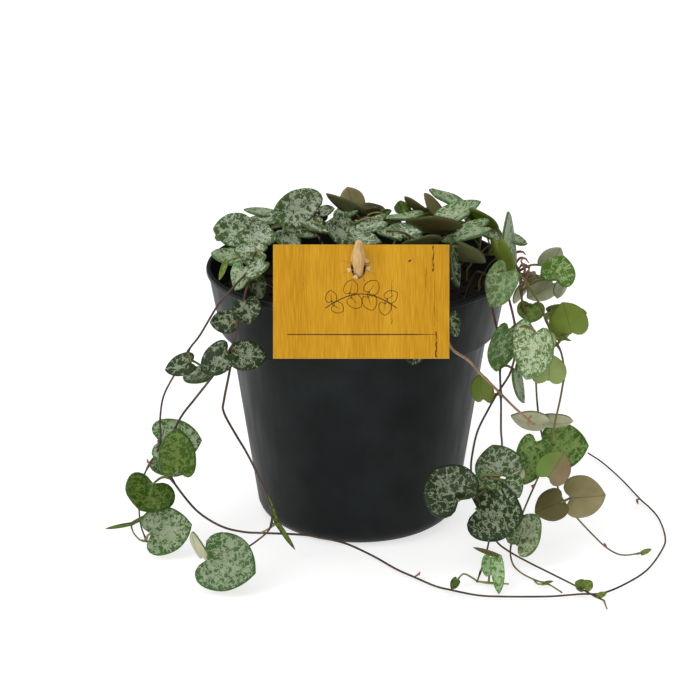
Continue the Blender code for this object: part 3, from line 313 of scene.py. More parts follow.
leafMarks = {
    "leafPlace": "FLOAT_VECTOR",  # millimetres across and along the leaf, and a number of its own
    "leafSilver": "FLOAT_COLOR",
    "leafGreen": "FLOAT_COLOR",
    "leafUnder": "FLOAT_COLOR",
    "leafShare": "FLOAT",
    "leafEdge": "FLOAT",  # 0 at its middle, 1 at its rim
}


def masterLeaf():
    # a flat disc of rings round a hub, which each leaf bends into its own heart
    bpy.ops.mesh.primitive_circle_add(vertices=leaf["rimPoints"], radius=1.0, fill_type="NGON")
    master = bpy.context.object
    bpy.ops.object.mode_set(mode="EDIT")
    bpy.ops.mesh.select_all(action="SELECT")
    for width in leaf["rings"]:
        bpy.ops.mesh.inset(thickness=width)
    bpy.ops.mesh.poke()
    bpy.ops.object.mode_set(mode="OBJECT")
    master.data.materials.append(leafFace)
    master.data.materials.append(leafBack)
    body = master.vertex_groups.new(name="body")
    for vert in master.data.vertices:
        body.add([vert.index], 1.0, "REPLACE")
    for name, kind in leafMarks.items():
        master.data.attributes.new(name, kind, "POINT")
    return master


def leafFrame(notch, tip, roll):
    # the across, along and upward directions of a leaf. With no roll it faces the eye
    along = (tip - notch).normalized()
    facing = Vector((0, -math.cos(eyePitch), math.sin(eyePitch)))
    upward = (facing - along * facing.dot(along)).normalized()
    upward = Matrix.Rotation(math.radians(roll), 3, along) @ upward
    return along.cross(upward), along, upward


def bendLeaf(master, plan, draw):
    # one leaf in its place: the copy's points go from the disc to a dished, slightly folded heart
    notch, tip, width, roll, tone = plan
    across, along, upward = leafFrame(notch, tip, roll)
    length = (tip - notch).length
    bent = master.copy()
    bent.data = master.data.copy()
    bpy.context.collection.objects.link(bent)
    lobes, turn, seed = draw.randint(2, 4), draw.uniform(0, math.tau), draw.uniform(0, 900)
    curl = draw.uniform(-0.05, 0.02)
    skew = draw.uniform(-0.03, 0.03)
    ripple = leaf["ripple"] * draw.uniform(0.5, 1.3)
    greenShare, *tints = leafTones[tone]
    greenShare += draw.uniform(-0.05, 0.05)
    light = draw.uniform(0.9, 1.1)
    silver, green, under, *flushed = [[channel * light for channel in colour(tint)] for tint in tints]
    flushed = flushed[0] if flushed else under
    places, edges, points, unders = [], [], [], []
    body = bent.vertex_groups["body"]
    thick = min(1.0, 0.35 + width / 18)
    for vert in bent.data.vertices:
        share = vert.co.xy.length
        angle = math.atan2(vert.co.x, vert.co.y)
        u, v = heart(angle)
        u, v = u * share, leaf["hub"] + (v - leaf["hub"]) * share
        u += skew * math.sin(math.pi * v)
        height = -leaf["dish"] * (1 - share**2)
        height += leaf["fold"] * (min(1, abs(u) * 4) - 1) * (1 - share) + curl * max(0.0, v - 0.5) ** 2
        height += ripple * math.sin(lobes * angle + turn) * share**2
        point = notch + across * (u * width) + along * (v * length) + upward * (height * width)
        points.extend(point * mm)
        places.extend((u * width, v * length, seed))
        edges.append(min(1.0, share))
        half = min(1.0, max(0.0, 0.5 + 2.5 * u))
        unders.extend(one + (other - one) * half for one, other in zip(under, flushed))
        rim = leaf["rimThickness"] if share > 0.99 else 1.0
        body.add([vert.index], rim * thick, "REPLACE")
    bent.data.vertices.foreach_set("co", points)
    bent.data.attributes["leafPlace"].data.foreach_set("vector", places)
    bent.data.attributes["leafSilver"].data.foreach_set("color", silver * len(edges))
    bent.data.attributes["leafGreen"].data.foreach_set("color", green * len(edges))
    bent.data.attributes["leafUnder"].data.foreach_set("color", unders)
    bent.data.attributes["leafShare"].data.foreach_set("value", [greenShare] * len(edges))
    bent.data.attributes["leafEdge"].data.foreach_set("value", edges)
    return bent


# the stems: curves through places read off the photo
stem = {
    "radius": 0.5,
    "stalkRadius": 0.72,
    "shootRadius": 0.42,
    "petioleRadius": 0.45,
    "step": 1.6,  # between a curve's points
    "rootDepth": 84.0,
    "soilLevel": 92.0,
    "tipShare": 0.65,  # how thin a stem is at its tip
    "swelling": 0.55,  # how much thicker a stem is where leaves join it
    "swellingReach": 2.2,
    "arch": 0.14,  # the rise of a leaf stalk's middle, as a share of its length
    "cornerSides": 2,
    "otherBarks": {"trail_right_outer": 3, "trail_right_back": 3, "flower_stalk": 5},
    "budRadius": 0.55,
}
tableClearance = 0.3
cadBladeThickness = 0.8
narrow = 7  # a leaf that looks this few pixels wide is read as truly narrow
near, far = 1, -1  # which way a leaf's tip leans
up, down = 1, -1  # which way its upper face is turned
face, back = "face", "back"  # the side of a leaf that shows


def smoothRoute(points):
    # closely spaced points on a curve through the given ones
    points = [Vector(point) for point in points]
    ends = [points[0] * 2 - points[1], *points, points[-1] * 2 - points[-2]]
    route = []
    for before, start, end, after in zip(ends, ends[1:], ends[2:], ends[3:]):
        count = max(1, round((end - start).length / stem["step"]))
        for index in range(count):
            t = index / count
            linear = (end - before) / 2
            square = before - start * 2.5 + end * 2 - after / 2
            cube = (start - end) * 1.5 + (after - before) / 2
            route.append(start + linear * t + square * t**2 + cube * t**3)
    return [*route, points[-1]]


def nearestOn(routes, place, inset=0.0):
    # the point nearest to a place on these chains of straight runs
    found = []
    for route in routes:
        for start, end in zip(route, route[1:]):
            _, share = intersect_point_line(place, start, end)
            least = min(0.5, inset / (end - start).length)
            found.append(start.lerp(end, min(1 - least, max(least, share))))
    return min(found, key=lambda point: (point - place).length)


def leafReading(notchX, notchY, tipX, tipY, seenWidth, size, depth, lean, turn, side, tone):
    # a leaf's notch, tip, width and roll about its midrib, from how it looks in the photo
    if isinstance(depth, tuple):
        notch, tip = seen(notchX, notchY, depth[0]), seen(tipX, tipY, depth[1])
        width = seenWidth * (notch - eyePlace).length / eye["pixelsPerSlope"]
        return notch, tip, width, 0.0 if side == face else 180.0, tone
    scale = (seen(notchX, notchY, depth) - eyePlace).length / eye["pixelsPerSlope"]
    seenLength = math.hypot(tipX - notchX, tipY - notchY) * scale
    seenWidth, isNarrow = seenWidth * scale, seenWidth <= narrow and not size
    width = seenWidth if isNarrow else size or max(seenLength, seenWidth)
    length = seenLength if isNarrow else 0.96 * width
    lag = lean * math.sqrt(max(0.0, length**2 - seenLength**2)) * math.cos(eyePitch) / 2
    notch, tip = seen(notchX, notchY, depth + lag), seen(tipX, tipY, depth - lag)
    roll = math.degrees(math.acos(min(1.0, seenWidth / width)))
    roll = roll if side == face else 180 + roll
    faces = {angle: leafFrame(notch, tip, angle)[2].z for angle in (roll, -roll)}
    return notch, tip, width, max(faces, key=lambda angle: faces[angle] * turn), tone


def planOf(reading):
    # a stem's plan in millimetres, with each leaf lifted clear of the table
    leaves = []
    for row in reading.get("leaves", []):
        notch, tip, width, roll, tone = leafReading(*row)
        across, along, _ = leafFrame(notch, tip, roll)
        length = (tip - notch).length
        rim = [heart(math.pi * (index / 8 - 1)) for index in range(16)]
        low = min((notch + across * (u * width) + along * (v * length)).z for u, v in rim)
        low -= leaf["dish"] * width
        rise = Vector((0, 0, max(0.0, cadBladeThickness / 2 + tableClearance - low)))
        leaves.append((notch + rise, tip + rise, width, roll, tone))
    return {**reading, "leaves": leaves}


# stems over the back of the pot follow a rule: they fan out from behind the middle and over the rim
backStems = {
    "angles": (36, 63, 90, 117, 144),
    "climb": ((27, 97), (31, 103), (38, 106.5), (50, 109), (60, 109), (66, 103), (67.5, 95), (68, 86)),
    "pairs": ((0.42, 12.0), (0.63, 13.0), (0.86, 12.0)),  # place along the stem, and width
    "drift": 7.0,
    "stalk": 1.8,
    "lift": 1.5,
    "length": 0.75,
    "roll": 70.0,
    "tones": ("net", "mot", "net", "mix"),
    "seed": 12,
}


def pointAlong(path, share):
    # the point at this share of a path's length, and the heading there
    left = share * sum((end - start).length for start, end in zip(path, path[1:]))
    for start, end in zip(path, path[1:]):
        run = (end - start).length
        if left <= run:
            break
        left -= run
    heading = (end - start).normalized()
    return start + heading * min(left, run), heading


def backPlan(angle, draw):
    drift = draw.uniform(-backStems["drift"], backStems["drift"])
    climb = backStems["climb"]
    route = []
    for index, (radius, height) in enumerate(climb[: draw.choice((6, 7, 8))]):
        turn = math.radians(angle + drift * index / len(climb))
        route.append(Vector((radius * math.cos(turn), radius * math.sin(turn), height)))
    outward = Vector((math.cos(turn), math.sin(turn), 0))
    sideways = Vector((-outward.y, outward.x, 0))
    path = smoothRoute(route)
    leaves = []
    for share, width in backStems["pairs"]:
        joint, ahead = pointAlong(path, share)
        for side in (-1, 1):
            heading = (sideways * side + ahead * draw.uniform(0.1, 0.5)).normalized()
            notch = joint + heading * backStems["stalk"] + (Vector((0, 0, 1)) + outward) * backStems["lift"]
            tip = notch + heading * width * backStems["length"] - Vector((0, 0, draw.uniform(0.5, 2.0)))
            roll = 180 - backStems["roll"] * side + draw.uniform(-8, 8)
            tone = backStems["tones"][len(leaves) % len(backStems["tones"])]
            leaves.append((notch, tip, width * draw.uniform(0.85, 1.0), roll, tone))
    return {"route": route, "leaves": leaves}


# each route runs outwards from its root: out of sight in millimetres, the rest read off the photo
readings = {
    "trail_far_left": {
        "route": [
            (-38, -14, 97), (-38, -26, 107), seen(256, 267, -38), seen(243, 277, -42),
            seen(231, 290, -45), seen(218, 305, -45), seen(200, 335, -42), seen(190, 348, -40),
            seen(184, 360, -39), seen(172, 379, -39), seen(163, 398, -39), seen(160, 421, -39),
            seen(160, 445, -36), seen(149, 465, -33), seen(144, 476, -31), seen(140, 495, -31),
            seen(139, 508, -34), seen(141, 526, -40), seen(147, 542, -44),
        ],
        "shoots": [
            [seen(147, 542, -44), seen(140, 540, -44), seen(133, 532, -43), seen(131, 524, -42)],
        ],
        "leaves": [
            (243, 267, 235, 291, 20, 0, -40, near, up, face, "sil"),
            (191, 362, 164, 370, 21, 0, -44, near, up, face, "net"),
            (200, 365, 206, 381, 40, 15, -36, near, up, face, "mot"),
            (158, 441, 203, 440, 44, 0, -33, near, up, face, "sil"),
            (157, 457, 197, 466, 32, 0, (-26, -26), near, up, face, "sil"),
            (150, 536, 193, 526, 46, 18, -48, near, up, face, "sil"),
            (131, 524, 104, 529, 4, 0, -42, near, up, face, "fresh"),
            (133, 523, 157, 511, 4, 0, -43, near, up, face, "fresh"),
        ],
    },
    "trail_runner": {
        "route": [
            (-27, -26, 97), (-34, -30, 105), (-40, -37, 109.5), (-42, -44, 108.5), (-43.5, -48, 102),
            seen(238, 316, -48), seen(234, 341, -48), seen(222, 363, -48), seen(209, 381, -47),
            seen(194, 400, -46), seen(181, 417, -45), seen(170, 440, -44), seen(163, 460, -44),
            seen(169, 475, -45), seen(187, 500, -46), seen(202, 515, -47), seen(223, 527, -48),
            seen(244, 532, -49), seen(262, 533, -50), seen(289, 534, -50), seen(309, 535.5, -50),
            seen(325, 538.5, -51), seen(347, 544, -52), onTable(373, 556), onTable(396, 569),
            onTable(414, 577), onTable(435, 586), onTable(451, 590), onTable(476, 595),
            onTable(499, 596.5), onTable(546, 596.5), onTable(569, 595), onTable(582, 594),
            onTable(603, 593), onTable(627, 583), onTable(648, 569), onTable(663, 548), onTable(665, 536),
            onTable(659, 519), onTable(650, 508), onTable(640, 499), onTable(622, 480), onTable(603, 463),
            onTable(588, 453),
        ],
        "branches": [
            [
                seen(234, 341, -48), seen(230, 369, -50), seen(224, 400, -52), seen(224, 413, -53),
                seen(239, 440, -55), seen(244, 448, -55), seen(254, 467, -56), seen(264, 490, -57),
                seen(271, 508, -57), seen(272, 519, -57), seen(269, 530, -58), seen(258, 540, -60),
                seen(246, 548, -63), seen(232, 555, -66), seen(218, 558, -68), seen(207, 557, -70),
            ],
        ],
        "shoots": [
            [seen(262, 533, -50), seen(270, 528, -51), seen(277, 523, -52)],
        ],
        "leaves": [
            (256, 280, 262, 300, 16, 0, -36, near, up, face, "mot"),
            (245, 301, 250, 325, 29, 0, -52, near, up, face, "net"),
            (234, 321, 209, 322, 23, 0, -46, far, up, face, "net"),
            (227, 352, 200, 372, 30, 0, -50, near, up, face, "net"),
            (236, 355, 268, 357, 29, 0, -52, near, up, face, "net"),
            (178, 471, 177, 427, 36, 0, (-50, -50), far, up, face, "fresh"),
            (154, 483, 139, 511, 50, 0, -45, near, up, face, "fresh"),
            (277, 523, 267, 493, 5, 0, -52, far, up, face, "fresh"),
            (277, 523, 296, 551, 5, 0, -55, near, up, face, "fresh"),
            (208, 559, 257, 575, 56, 22, -76.5, near, up, face, "sil"),
            (203, 556, 192, 531, 13, 0, -66, far, up, back, "pale"),
        ],
    },
    "crown_left_low": {
        "route": [
            (-41, -4, 97), (-41, -13, 110), (-41, -21, 113),
        ],
        "leaves": [
            (241, 258, 210, 253, 17, 12, -14, near, up, face, "sil"),
            (258, 262, 240, 255, 15, 0, -24, near, up, face, "mot"),
            (264, 262, 245, 279, 15, 10, -49, near, up, face, "mot"),
            (226, 262, 219, 281, 6, 0, -24, near, up, face, "lime"),
            (263, 252, 233, 250, 19, 12, -19, near, up, face, "mot"),
        ],
    },
    "crown_left_top": {
        "route": [
            (-32, 11, 97), (-35, 14, 115), (-39, 6, 118), (-43, -3, 117),
        ],
        "leaves": [
            (246, 231, 212, 229, 34, 0, -6, near, up, face, "mot"),
            (244, 229, 279, 240, 27, 13.5, -6, near, up, face, "mot"),
            (271, 213, 243, 209, 9, 11, 16, far, up, face, "sil"),
            (274, 219, 247, 219, 12, 11, 8, near, up, face, "mot"),
        ],
    },
    "crown_mid_left": {
        "route": [
            (-15, 6, 97), (-15, 8, 118), (-16, 6, 124), (-19, 0, 123), (-25, -10, 121),
        ],
        "leaves": [
            (317, 212, 271, 213, 48, 19, 3, near, up, face, "mot"),
            (320, 212, 335, 208, 11, 0, 8, near, up, face, "mot"),
            (283, 230, 300, 252, 23, 0, -18, near, up, face, "mot"),
            (327, 230, 299, 222, 9, 11, -9, far, up, face, "mot"),
            (300, 230, 318, 236, 14, 9, -12, near, up, face, "mot"),
        ],
    },
    "crown_mid": {
        "route": [
            (3, 3, 97), (3, 8, 117), (2, 8, 121), (0, 2, 122), (-4, -8, 121), (-5, -18, 119),
        ],
        "shoots": [
            [seen(364, 215, 8), seen(373, 213, 9), seen(381, 213, 9)],
        ],
        "leaves": [
            (334, 220, 357, 247, 27, 0, -22, near, up, face, "mot"),
            (354, 209, 347, 186, 25, 0, 14, far, up, back, "pink"),
            (360, 214, 325, 193, 9, 12, 8, far, up, back, "deep"),
            (354, 211, 324, 224, 8, 12, 4, near, up, face, "sil"),
            (382, 214, 392, 210, 7, 0, 9, near, up, face, "fresh"),
            (383, 221, 352, 230, 16, 12, -8, near, up, face, "mot"),
            (352, 235, 383, 242, 15, 12, -28, near, up, face, "mot"),
        ],
    },
    "crown_mid_right": {
        "route": [
            (19, 6, 97), (20, 8, 116), (21, 5, 120), (22, -3, 120), (24, -12, 118), (26, -24, 116),
        ],
        "leaves": [
            (405, 212, 400, 200, 14, 7, 14, far, up, face, "fresh"),
            (424, 212, 404, 196, 6, 9, 12, far, up, back, "olive"),
            (439, 213, 423, 193, 13, 10, 9, far, down, back, "olive"),
            (418, 214, 379, 219, 8, 15, 0, near, up, face, "sil"),
            (421, 234, 386, 227, 17, 13, -14, near, up, face, "mot"),
            (436, 239, 401, 244, 6, 12, -36, near, up, back, "deep"),
            (384, 230, 402, 240, 12, 10, -26, near, up, face, "mot"),
        ],
    },
    "crown_right": {
        "route": [
            (36, 7, 97), (38, 3, 116), (39, -4, 120), (43, -12, 120), (46, -20, 117), (42, -30, 115),
        ],
        "leaves": [
            (462, 204, 428, 189, 13, 14, 17, far, up, face, "sil"),
            (441, 218, 482, 201, 20, 17, -2, far, up, face, "sil"),
            (484, 226, 440, 241, 17, 18, -24, near, up, face, "sil"),
            (454, 228, 403, 220, 12, 18, -20, near, up, back, "olive"),
            (471, 212, 500, 229, 8, 12, -6, near, up, back, "lime"),
            (452, 247, 459, 290, 12, 15, -42, near, up, face, "net"),
            (454, 248, 487, 262, 14, 12, -34, near, up, back, "deep"),
            (487, 232, 498, 241, 12, 8, -12, near, up, face, "mot"),
        ],
    },
    "trail_right_front": {
        "route": [
            (41, -20, 97), (44, -25, 108), (46, -31, 111), seen(489, 279, -37), seen(491, 300, -41),
            seen(494, 316, -42), seen(498, 334, -42), seen(500, 350, -41), seen(500, 373, -40),
            seen(501, 400, -40), seen(501, 430, -41), seen(502, 446, -36), seen(500, 470, -34),
            seen(496, 500, -37), seen(492, 525, -42), seen(489, 541, -47), seen(485, 558, -54),
            onTable(477, 582),
        ],
        "shoots": [
            [onTable(477, 582), onTable(471, 577, 3), onTable(463, 574, 5), onTable(456, 582, 3)],
            [onTable(478, 583), onTable(490, 583), onTable(509, 584)],
        ],
        "leaves": [
            (507, 271, 489, 308, 29, 0, -45, near, up, face, "veil"),
            (484, 399, 481, 373, 21, 0, -42.5, far, up, back, "lime"),
            (516, 371, 524, 404, 12, 12, -45, near, up, face, "sil"),
            (497, 560, 499, 595, 13, 0, (-72, -82), near, up, face, "sprout"),
            (491, 558, 486, 577, 16, 0, (-70, -76), near, up, face, "sprout"),
            (498, 556, 472, 547, 5, 0, -66, near, up, back, "olive"),
            (457, 580, 451, 589, 9, 4, (-78, -85), near, up, face, "fresh"),
        ],
    },
    "trail_right_mid": {
        "route": [
            (47, -13, 97), (51, -20, 108), (53, -27, 110), seen(505, 286, -36), seen(510, 303, -44),
            seen(514, 320, -46), seen(516, 334, -46), seen(516, 350, -45), seen(511, 371, -45),
            seen(505, 382, -46), seen(497, 394, -47), seen(488, 410, -48), seen(478, 430, -49),
            seen(473, 450, -49), seen(471, 470, -50), seen(475, 490, -51), seen(483, 510, -52),
            seen(490, 528, -53), seen(497, 542, -55), seen(510, 552, -58), onTable(528, 562),
            onTable(548, 572), onTable(572, 584), onTable(587, 592, 3.4), onTable(605, 601),
        ],
        "shoots": [
            [onTable(605, 601), onTable(607, 609)],
        ],
        "leaves": [
            (510, 329, 496, 373, 30, 15, -46, near, down, face, "vein"),
            (535, 331, 526, 381, 38, 19, -53, near, up, face, "mist"),
            (459, 501, 432, 468, 56, 0, -58, far, up, face, "net"),
            (476, 509, 525, 517, 60, 0, -58, near, up, face, "net"),
            (501, 476, 492, 444, 46, 0, -46, far, up, face, "mot"),
            (486, 487, 486, 467, 26, 10, -51, far, up, face, "sil"),
            (505, 480, 520, 498, 26, 10, -54, near, up, face, "mot"),
            (513, 481, 524, 469, 12, 0, -50, far, up, back, "pale"),
            (584, 591, 575, 585, 12, 0, -80, near, up, face, "lime"),
            (584, 591, 592, 584, 12, 0, -80, near, up, face, "lime"),
            (598, 596, 607, 593, 6, 0, (-87, -84), near, up, face, "lime"),
        ],
    },
    "trail_right_outer": {
        "route": [
            (48, 1, 97), (52, -6, 107), (55, -16, 111), seen(519, 274, -26), seen(530, 288, -30),
            seen(540, 305, -31), seen(548, 325, -32), seen(554, 340, -32), seen(561, 352, -32),
            seen(564, 372, -32), seen(561, 395, -33), seen(556, 418, -36), seen(552, 438, -38),
            seen(545, 462, -42), seen(537, 480, -45), seen(529, 498, -47), seen(520, 520, -49),
            seen(511, 545, -51), onTable(512, 562), onTable(520, 572), onTable(535, 580),
            onTable(548, 584), onTable(562, 592.5),
        ],
        "shoots": [
            [onTable(522, 585), onTable(538, 584), onTable(548, 584)],
        ],
        "leaves": [
            (560, 337, 572, 341, 3, 0, -32, near, up, face, "fresh"),
            (571, 333, 562, 301, 38, 0, (-28, -28), near, up, back, "lime"),
            (550, 312, 588, 313, 13, 15, -22, far, up, back, "lime"),
            (548, 380, 550, 353, 33, 0, (-36, -36), far, up, back, "dew"),
            (546, 356, 551, 331, 14, 10, -36, far, up, back, "dew"),
            (537, 442, 524, 486, 33, 0, (-43, -43), near, up, face, "spring"),
            (517, 545, 539, 514, 29, 0, -56, far, up, face, "mist"),
            (544, 583, 554, 581, 3, 4, (-76, -75), near, up, face, "fresh"),
        ],
    },
    "trail_right_back": {
        "route": [
            (44, 16, 97), (52, 12, 108), (58, 2, 110), seen(519, 272, -8), seen(521, 290, -17),
            seen(523, 306, -20), seen(528, 320, -22), seen(535, 340, -23), seen(536, 360, -24),
            seen(536, 380, -25), seen(537, 400, -26), seen(539, 418, -28), seen(543, 440, -28),
            seen(550, 462, -29), seen(556, 480, -30), seen(559, 492, -30), seen(562, 499, -31),
            seen(570, 510, -32), seen(577, 518, -33), seen(592, 534, -36), onTable(607, 548, 3),
            onTable(622, 555), onTable(642, 553),
        ],
        "leaves": [
            (546, 266, 561, 247, 22, 0, -6, far, up, back, "pale"),
            (556, 280, 564, 255, 34, 0, -18, far, up, face, "bright"),
            (562, 282, 557, 299, 13, 0, -16, near, up, back, "pale"),
            (552, 282, 526, 298, 25, 0, -10, near, up, back, "pale"),
            (525, 284, 513, 304, 10, 0, -12, near, up, back, "pale"),
            (531, 272, 531, 283, 10, 0, -10, near, up, back, "pale"),
            (531, 304, 531, 323, 27, 0, -21, near, up, face, "lime"),
            (543, 423, 510, 415, 18, 0, -34, near, up, back, "pale"),
            (546, 420, 574, 421, 14, 11, -24, near, up, back, "pale"),
            (548, 447, 590, 446, 45, 0, (-22, -22), near, up, face, "spring"),
            (548, 477, 565, 451, 33, 0, -48, far, up, back, "mix"),
            (570, 498, 607, 495, 41, 0, -34, near, up, back, "pink"),
            (561, 501, 534, 513, 31, 0, -38, near, up, back, "olive"),
            (642, 553, 652, 549, 5, 0, (-51, -47), near, up, face, "lime"),
        ],
    },
    "crown_right_edge": {
        "route": [
            (33, -10, 97), (42, -14, 111), (50, -18, 114),
        ],
        "leaves": [
            (511, 262, 507, 210, 17, 19, -24, far, up, face, "sil"),
            (499, 243, 513, 277, 12, 13, -32, near, up, back, "lime"),
            (509, 236, 528, 244, 11, 0, -14, near, up, face, "sil"),
        ],
    },
    "flower_stalk": {
        "thick": True,
        "route": [
            (18, -38, 97), (22, -45, 108), (26, -52, 110), (30, -56, 103), seen(450, 346, -58),
            seen(468, 360, -58), seen(480, 373, -58), seen(500, 393, -57), seen(515, 408, -56),
            seen(531, 422, -55),
        ],
        "branches": [
            [(30, -56, 103), (28, -59, 98), (24, -61.5, 93)],
        ],
        "leaves": [
            (451, 316, 458, 337, 15, 0, -54, near, up, face, "net"),
            (416, 341, 412, 366, 24, 0, -60, near, up, face, "net"),
        ],
    },
}


# small pink-brown bracts and dried tips at some joints
buds = {
    "trail_far_left": [(seen(151, 465, -33), seen(148, 462, -34), seen(147, 459, -34))],
    "trail_runner": [
        (onTable(414, 577), onTable(419, 574, 2.5), onTable(420, 572, 3.5)),
        (onTable(640, 499), onTable(637, 500, 2.5), onTable(638, 504, 3.5)),
    ],
    "flower_stalk": [
        (seen(531, 422, -55), seen(534, 424, -55), seen(535, 425, -55)),
        (seen(528, 419, -55), seen(531, 417, -55), seen(531, 415, -55)),
        (seen(528, 421, -56), seen(528, 424, -56), seen(529, 426, -56)),
    ],
    "trail_right_back": [
        (seen(607, 548, -48), seen(605, 545, -48), seen(604, 543, -48)),
        (seen(521, 290, -17), seen(527, 276, -15), seen(530, 266, -14)),
        (seen(511, 257, -4), seen(517, 252, -6), seen(523, 252, -7), seen(526, 255, -7)),
        (seen(515, 265, -6), seen(520, 258, -8), seen(526, 259, -9), seen(529, 263, -9)),
        (seen(518, 270, -8), seen(523, 264, -10), seen(529, 268, -10), seen(528, 272, -9)),
        (seen(519, 273, -8), seen(524, 274, -9), seen(529, 277, -10), seen(526, 282, -10)),
        (seen(520, 279, -11), seen(525, 270, -12), seen(521, 261, -11), seen(524, 257, -10)),
    ],
    "trail_right_outer": [(seen(535, 484, -45), seen(532, 486, -46), seen(533, 489, -46))],
}


def addSpline(curve, points, radii, skin):
    spline = curve.splines.new("POLY")
    spline.points.add(len(points) - 1)
    spline.material_index = skin
    for slot, point, radius in zip(spline.points, points, radii):
        slot.co = (*(point * mm), 1)
        slot.radius = radius
    return spline


def growStem(name, plan, master, draw):
    # one stem with its branches, shoots, leaf stalks and leaves, as one piece
    radius = stem["stalkRadius"] if plan.get("thick") else stem["radius"]
    x, y, _ = plan["route"][0]
    foot = [(x, y, stem["rootDepth"]), (x, y, stem["soilLevel"] + 3)]
    routes = [smoothRoute([*foot, *plan["route"]])]
    bark = stem["otherBarks"].get(name, 0)
    kinds = [(radius, bark)]
    for kind, thickness, skin in (("branches", radius, bark), ("shoots", stem["shootRadius"], 2)):
        for sideRoute in plan.get(kind, []):
            joint = nearestOn(routes, Vector(sideRoute[0]), stem["radius"])
            routes.append(smoothRoute([joint, *sideRoute[1:]]))
            kinds.append((thickness, skin))
    joints = []
    stalks = []
    for notch, tip, width, _, _ in plan["leaves"]:
        along = (tip - notch).normalized()
        joint = nearestOn(routes, notch, stem["radius"])
        joints.append(joint)
        reach = (joint - notch).length
        rise = Vector((0, 0, stem["arch"] * reach)) if reach > 5 else Vector()
        middle = (notch + joint) / 2 + rise
        stalks.append((smoothRoute([joint, middle, notch, notch + along * min(1.4, width * 0.15)]), width))
    curve = bpy.data.curves.new(name, "CURVE")
    curve.dimensions = "3D"
    curve.bevel_depth = mm
    curve.bevel_resolution = stem["cornerSides"]
    curve.use_fill_caps = True
    for skin in (stemBark, leafStalk, youngShoot, oliveBark, driedBud, stalkBark):
        curve.materials.append(skin)
    for route, (thickness, skin) in zip(routes, kinds):
        radii = []
        for index, point in enumerate(route):
            share = index / (len(route) - 1)
            gap = min([(point - joint).length for joint in joints] or [99])
            swell = stem["swelling"] * max(0.0, 1 - (gap / stem["swellingReach"]) ** 2)
            radii.append(thickness * (1 + (stem["tipShare"] - 1) * share) * (1 + swell))
        addSpline(curve, route, radii, skin)
    for route, width in stalks:
        thickness = stem["petioleRadius"] * min(1.0, 0.5 + width / 20)
        radii = [thickness * (1.25 - 0.35 * index / (len(route) - 1)) for index in range(len(route))]
        addSpline(curve, route, radii, 1)
    for bud in buds.get(name, []):
        route = smoothRoute(bud)
        turns = [math.pi * index / (len(route) - 1) for index in range(len(route))]
        addSpline(curve, route, [stem["budRadius"] * (0.35 + 0.65 * math.sin(turn)) for turn in turns], 4)
    tubes = bpy.data.objects.new(name + "_tubes", curve)
    bpy.context.collection.objects.link(tubes)
    selectOnly(tubes)
    bpy.ops.object.convert(target="MESH")
    tubes = bpy.context.object
    bpy.ops.object.mode_set(mode="EDIT")
    bpy.ops.mesh.select_all(action="SELECT")
    bpy.ops.mesh.remove_doubles(threshold=0.00002)
    bpy.ops.mesh.normals_make_consistent(inside=False)
    bpy.ops.object.mode_set(mode="OBJECT")
    grown = tubes
    if plan["leaves"]:
        blades = joinAll([bendLeaf(master, row, draw) for row in plan["leaves"]])
        wall = blades.modifiers.new("flesh", "SOLIDIFY")
        wall.thickness = leaf["thickness"] * mm
        wall.offset = 0.0
        wall.vertex_group = "body"
        wall.material_offset = 1
        applyAll(blades)
        blades.vertex_groups.clear()
        grown = joinAll([tubes, blades])
    selectOnly(grown)
    bpy.ops.object.shade_smooth()
    return handOver(grown, name + "_grown", "leaf", name)


leafMaster = masterLeaf()
backDraw = random.Random(backStems["seed"])
plans = {name: planOf(reading) for name, reading in readings.items()}
for number, angle in enumerate(backStems["angles"]):
    plans[f"crown_back_{number + 1}"] = backPlan(angle, backDraw)
growDraw = random.Random(5)
for name, plan in plans.items():
    growStem(name, plan, leafMaster, growDraw)
bpy.data.objects.remove(leafMaster)
print("stems and leaves are grown:", len(plans), "stems,", sum(len(p["leaves"]) for p in plans.values()), "leaves")

# the pot
pot = {
    "sides": 96,
    "rim": 60.0,
    "height": 105.0,
    "wall": 1.2,
    "lipHeight": 2.6,
    "lipStep": 0.9,
    "collarBottom": 80.0,
    "collarLow": 55.2,
    "bodyTop": 51.5,
    "bodyLow": 41.3,
    "corner": 8.0,
    "floor": 1.6,
    "drainHoles": 6,
    "drainRadius": 4.0,
    "drainCircle": 25.0,
}


def potWall(offset, bottom, steps):
    # the wall's outline, drawn in by offset, as (radius, height) from the foot up to the lip
    corner = []
    for index in range(steps + 1):
        angle = math.pi / 2 * index / steps
        radius = pot["bodyLow"] - pot["corner"] + (pot["corner"] - offset) * math.sin(angle)
        corner.append((radius, pot["corner"] - (pot["corner"] - bottom) * math.cos(angle)))
    shoulder = pot["collarBottom"] + offset
    return [
        *corner,
        (pot["bodyTop"] - offset, shoulder),
        (pot["collarLow"] - offset, shoulder),
        (pot["rim"] - pot["lipStep"] - offset, pot["height"] - pot["lipHeight"]),
    ]


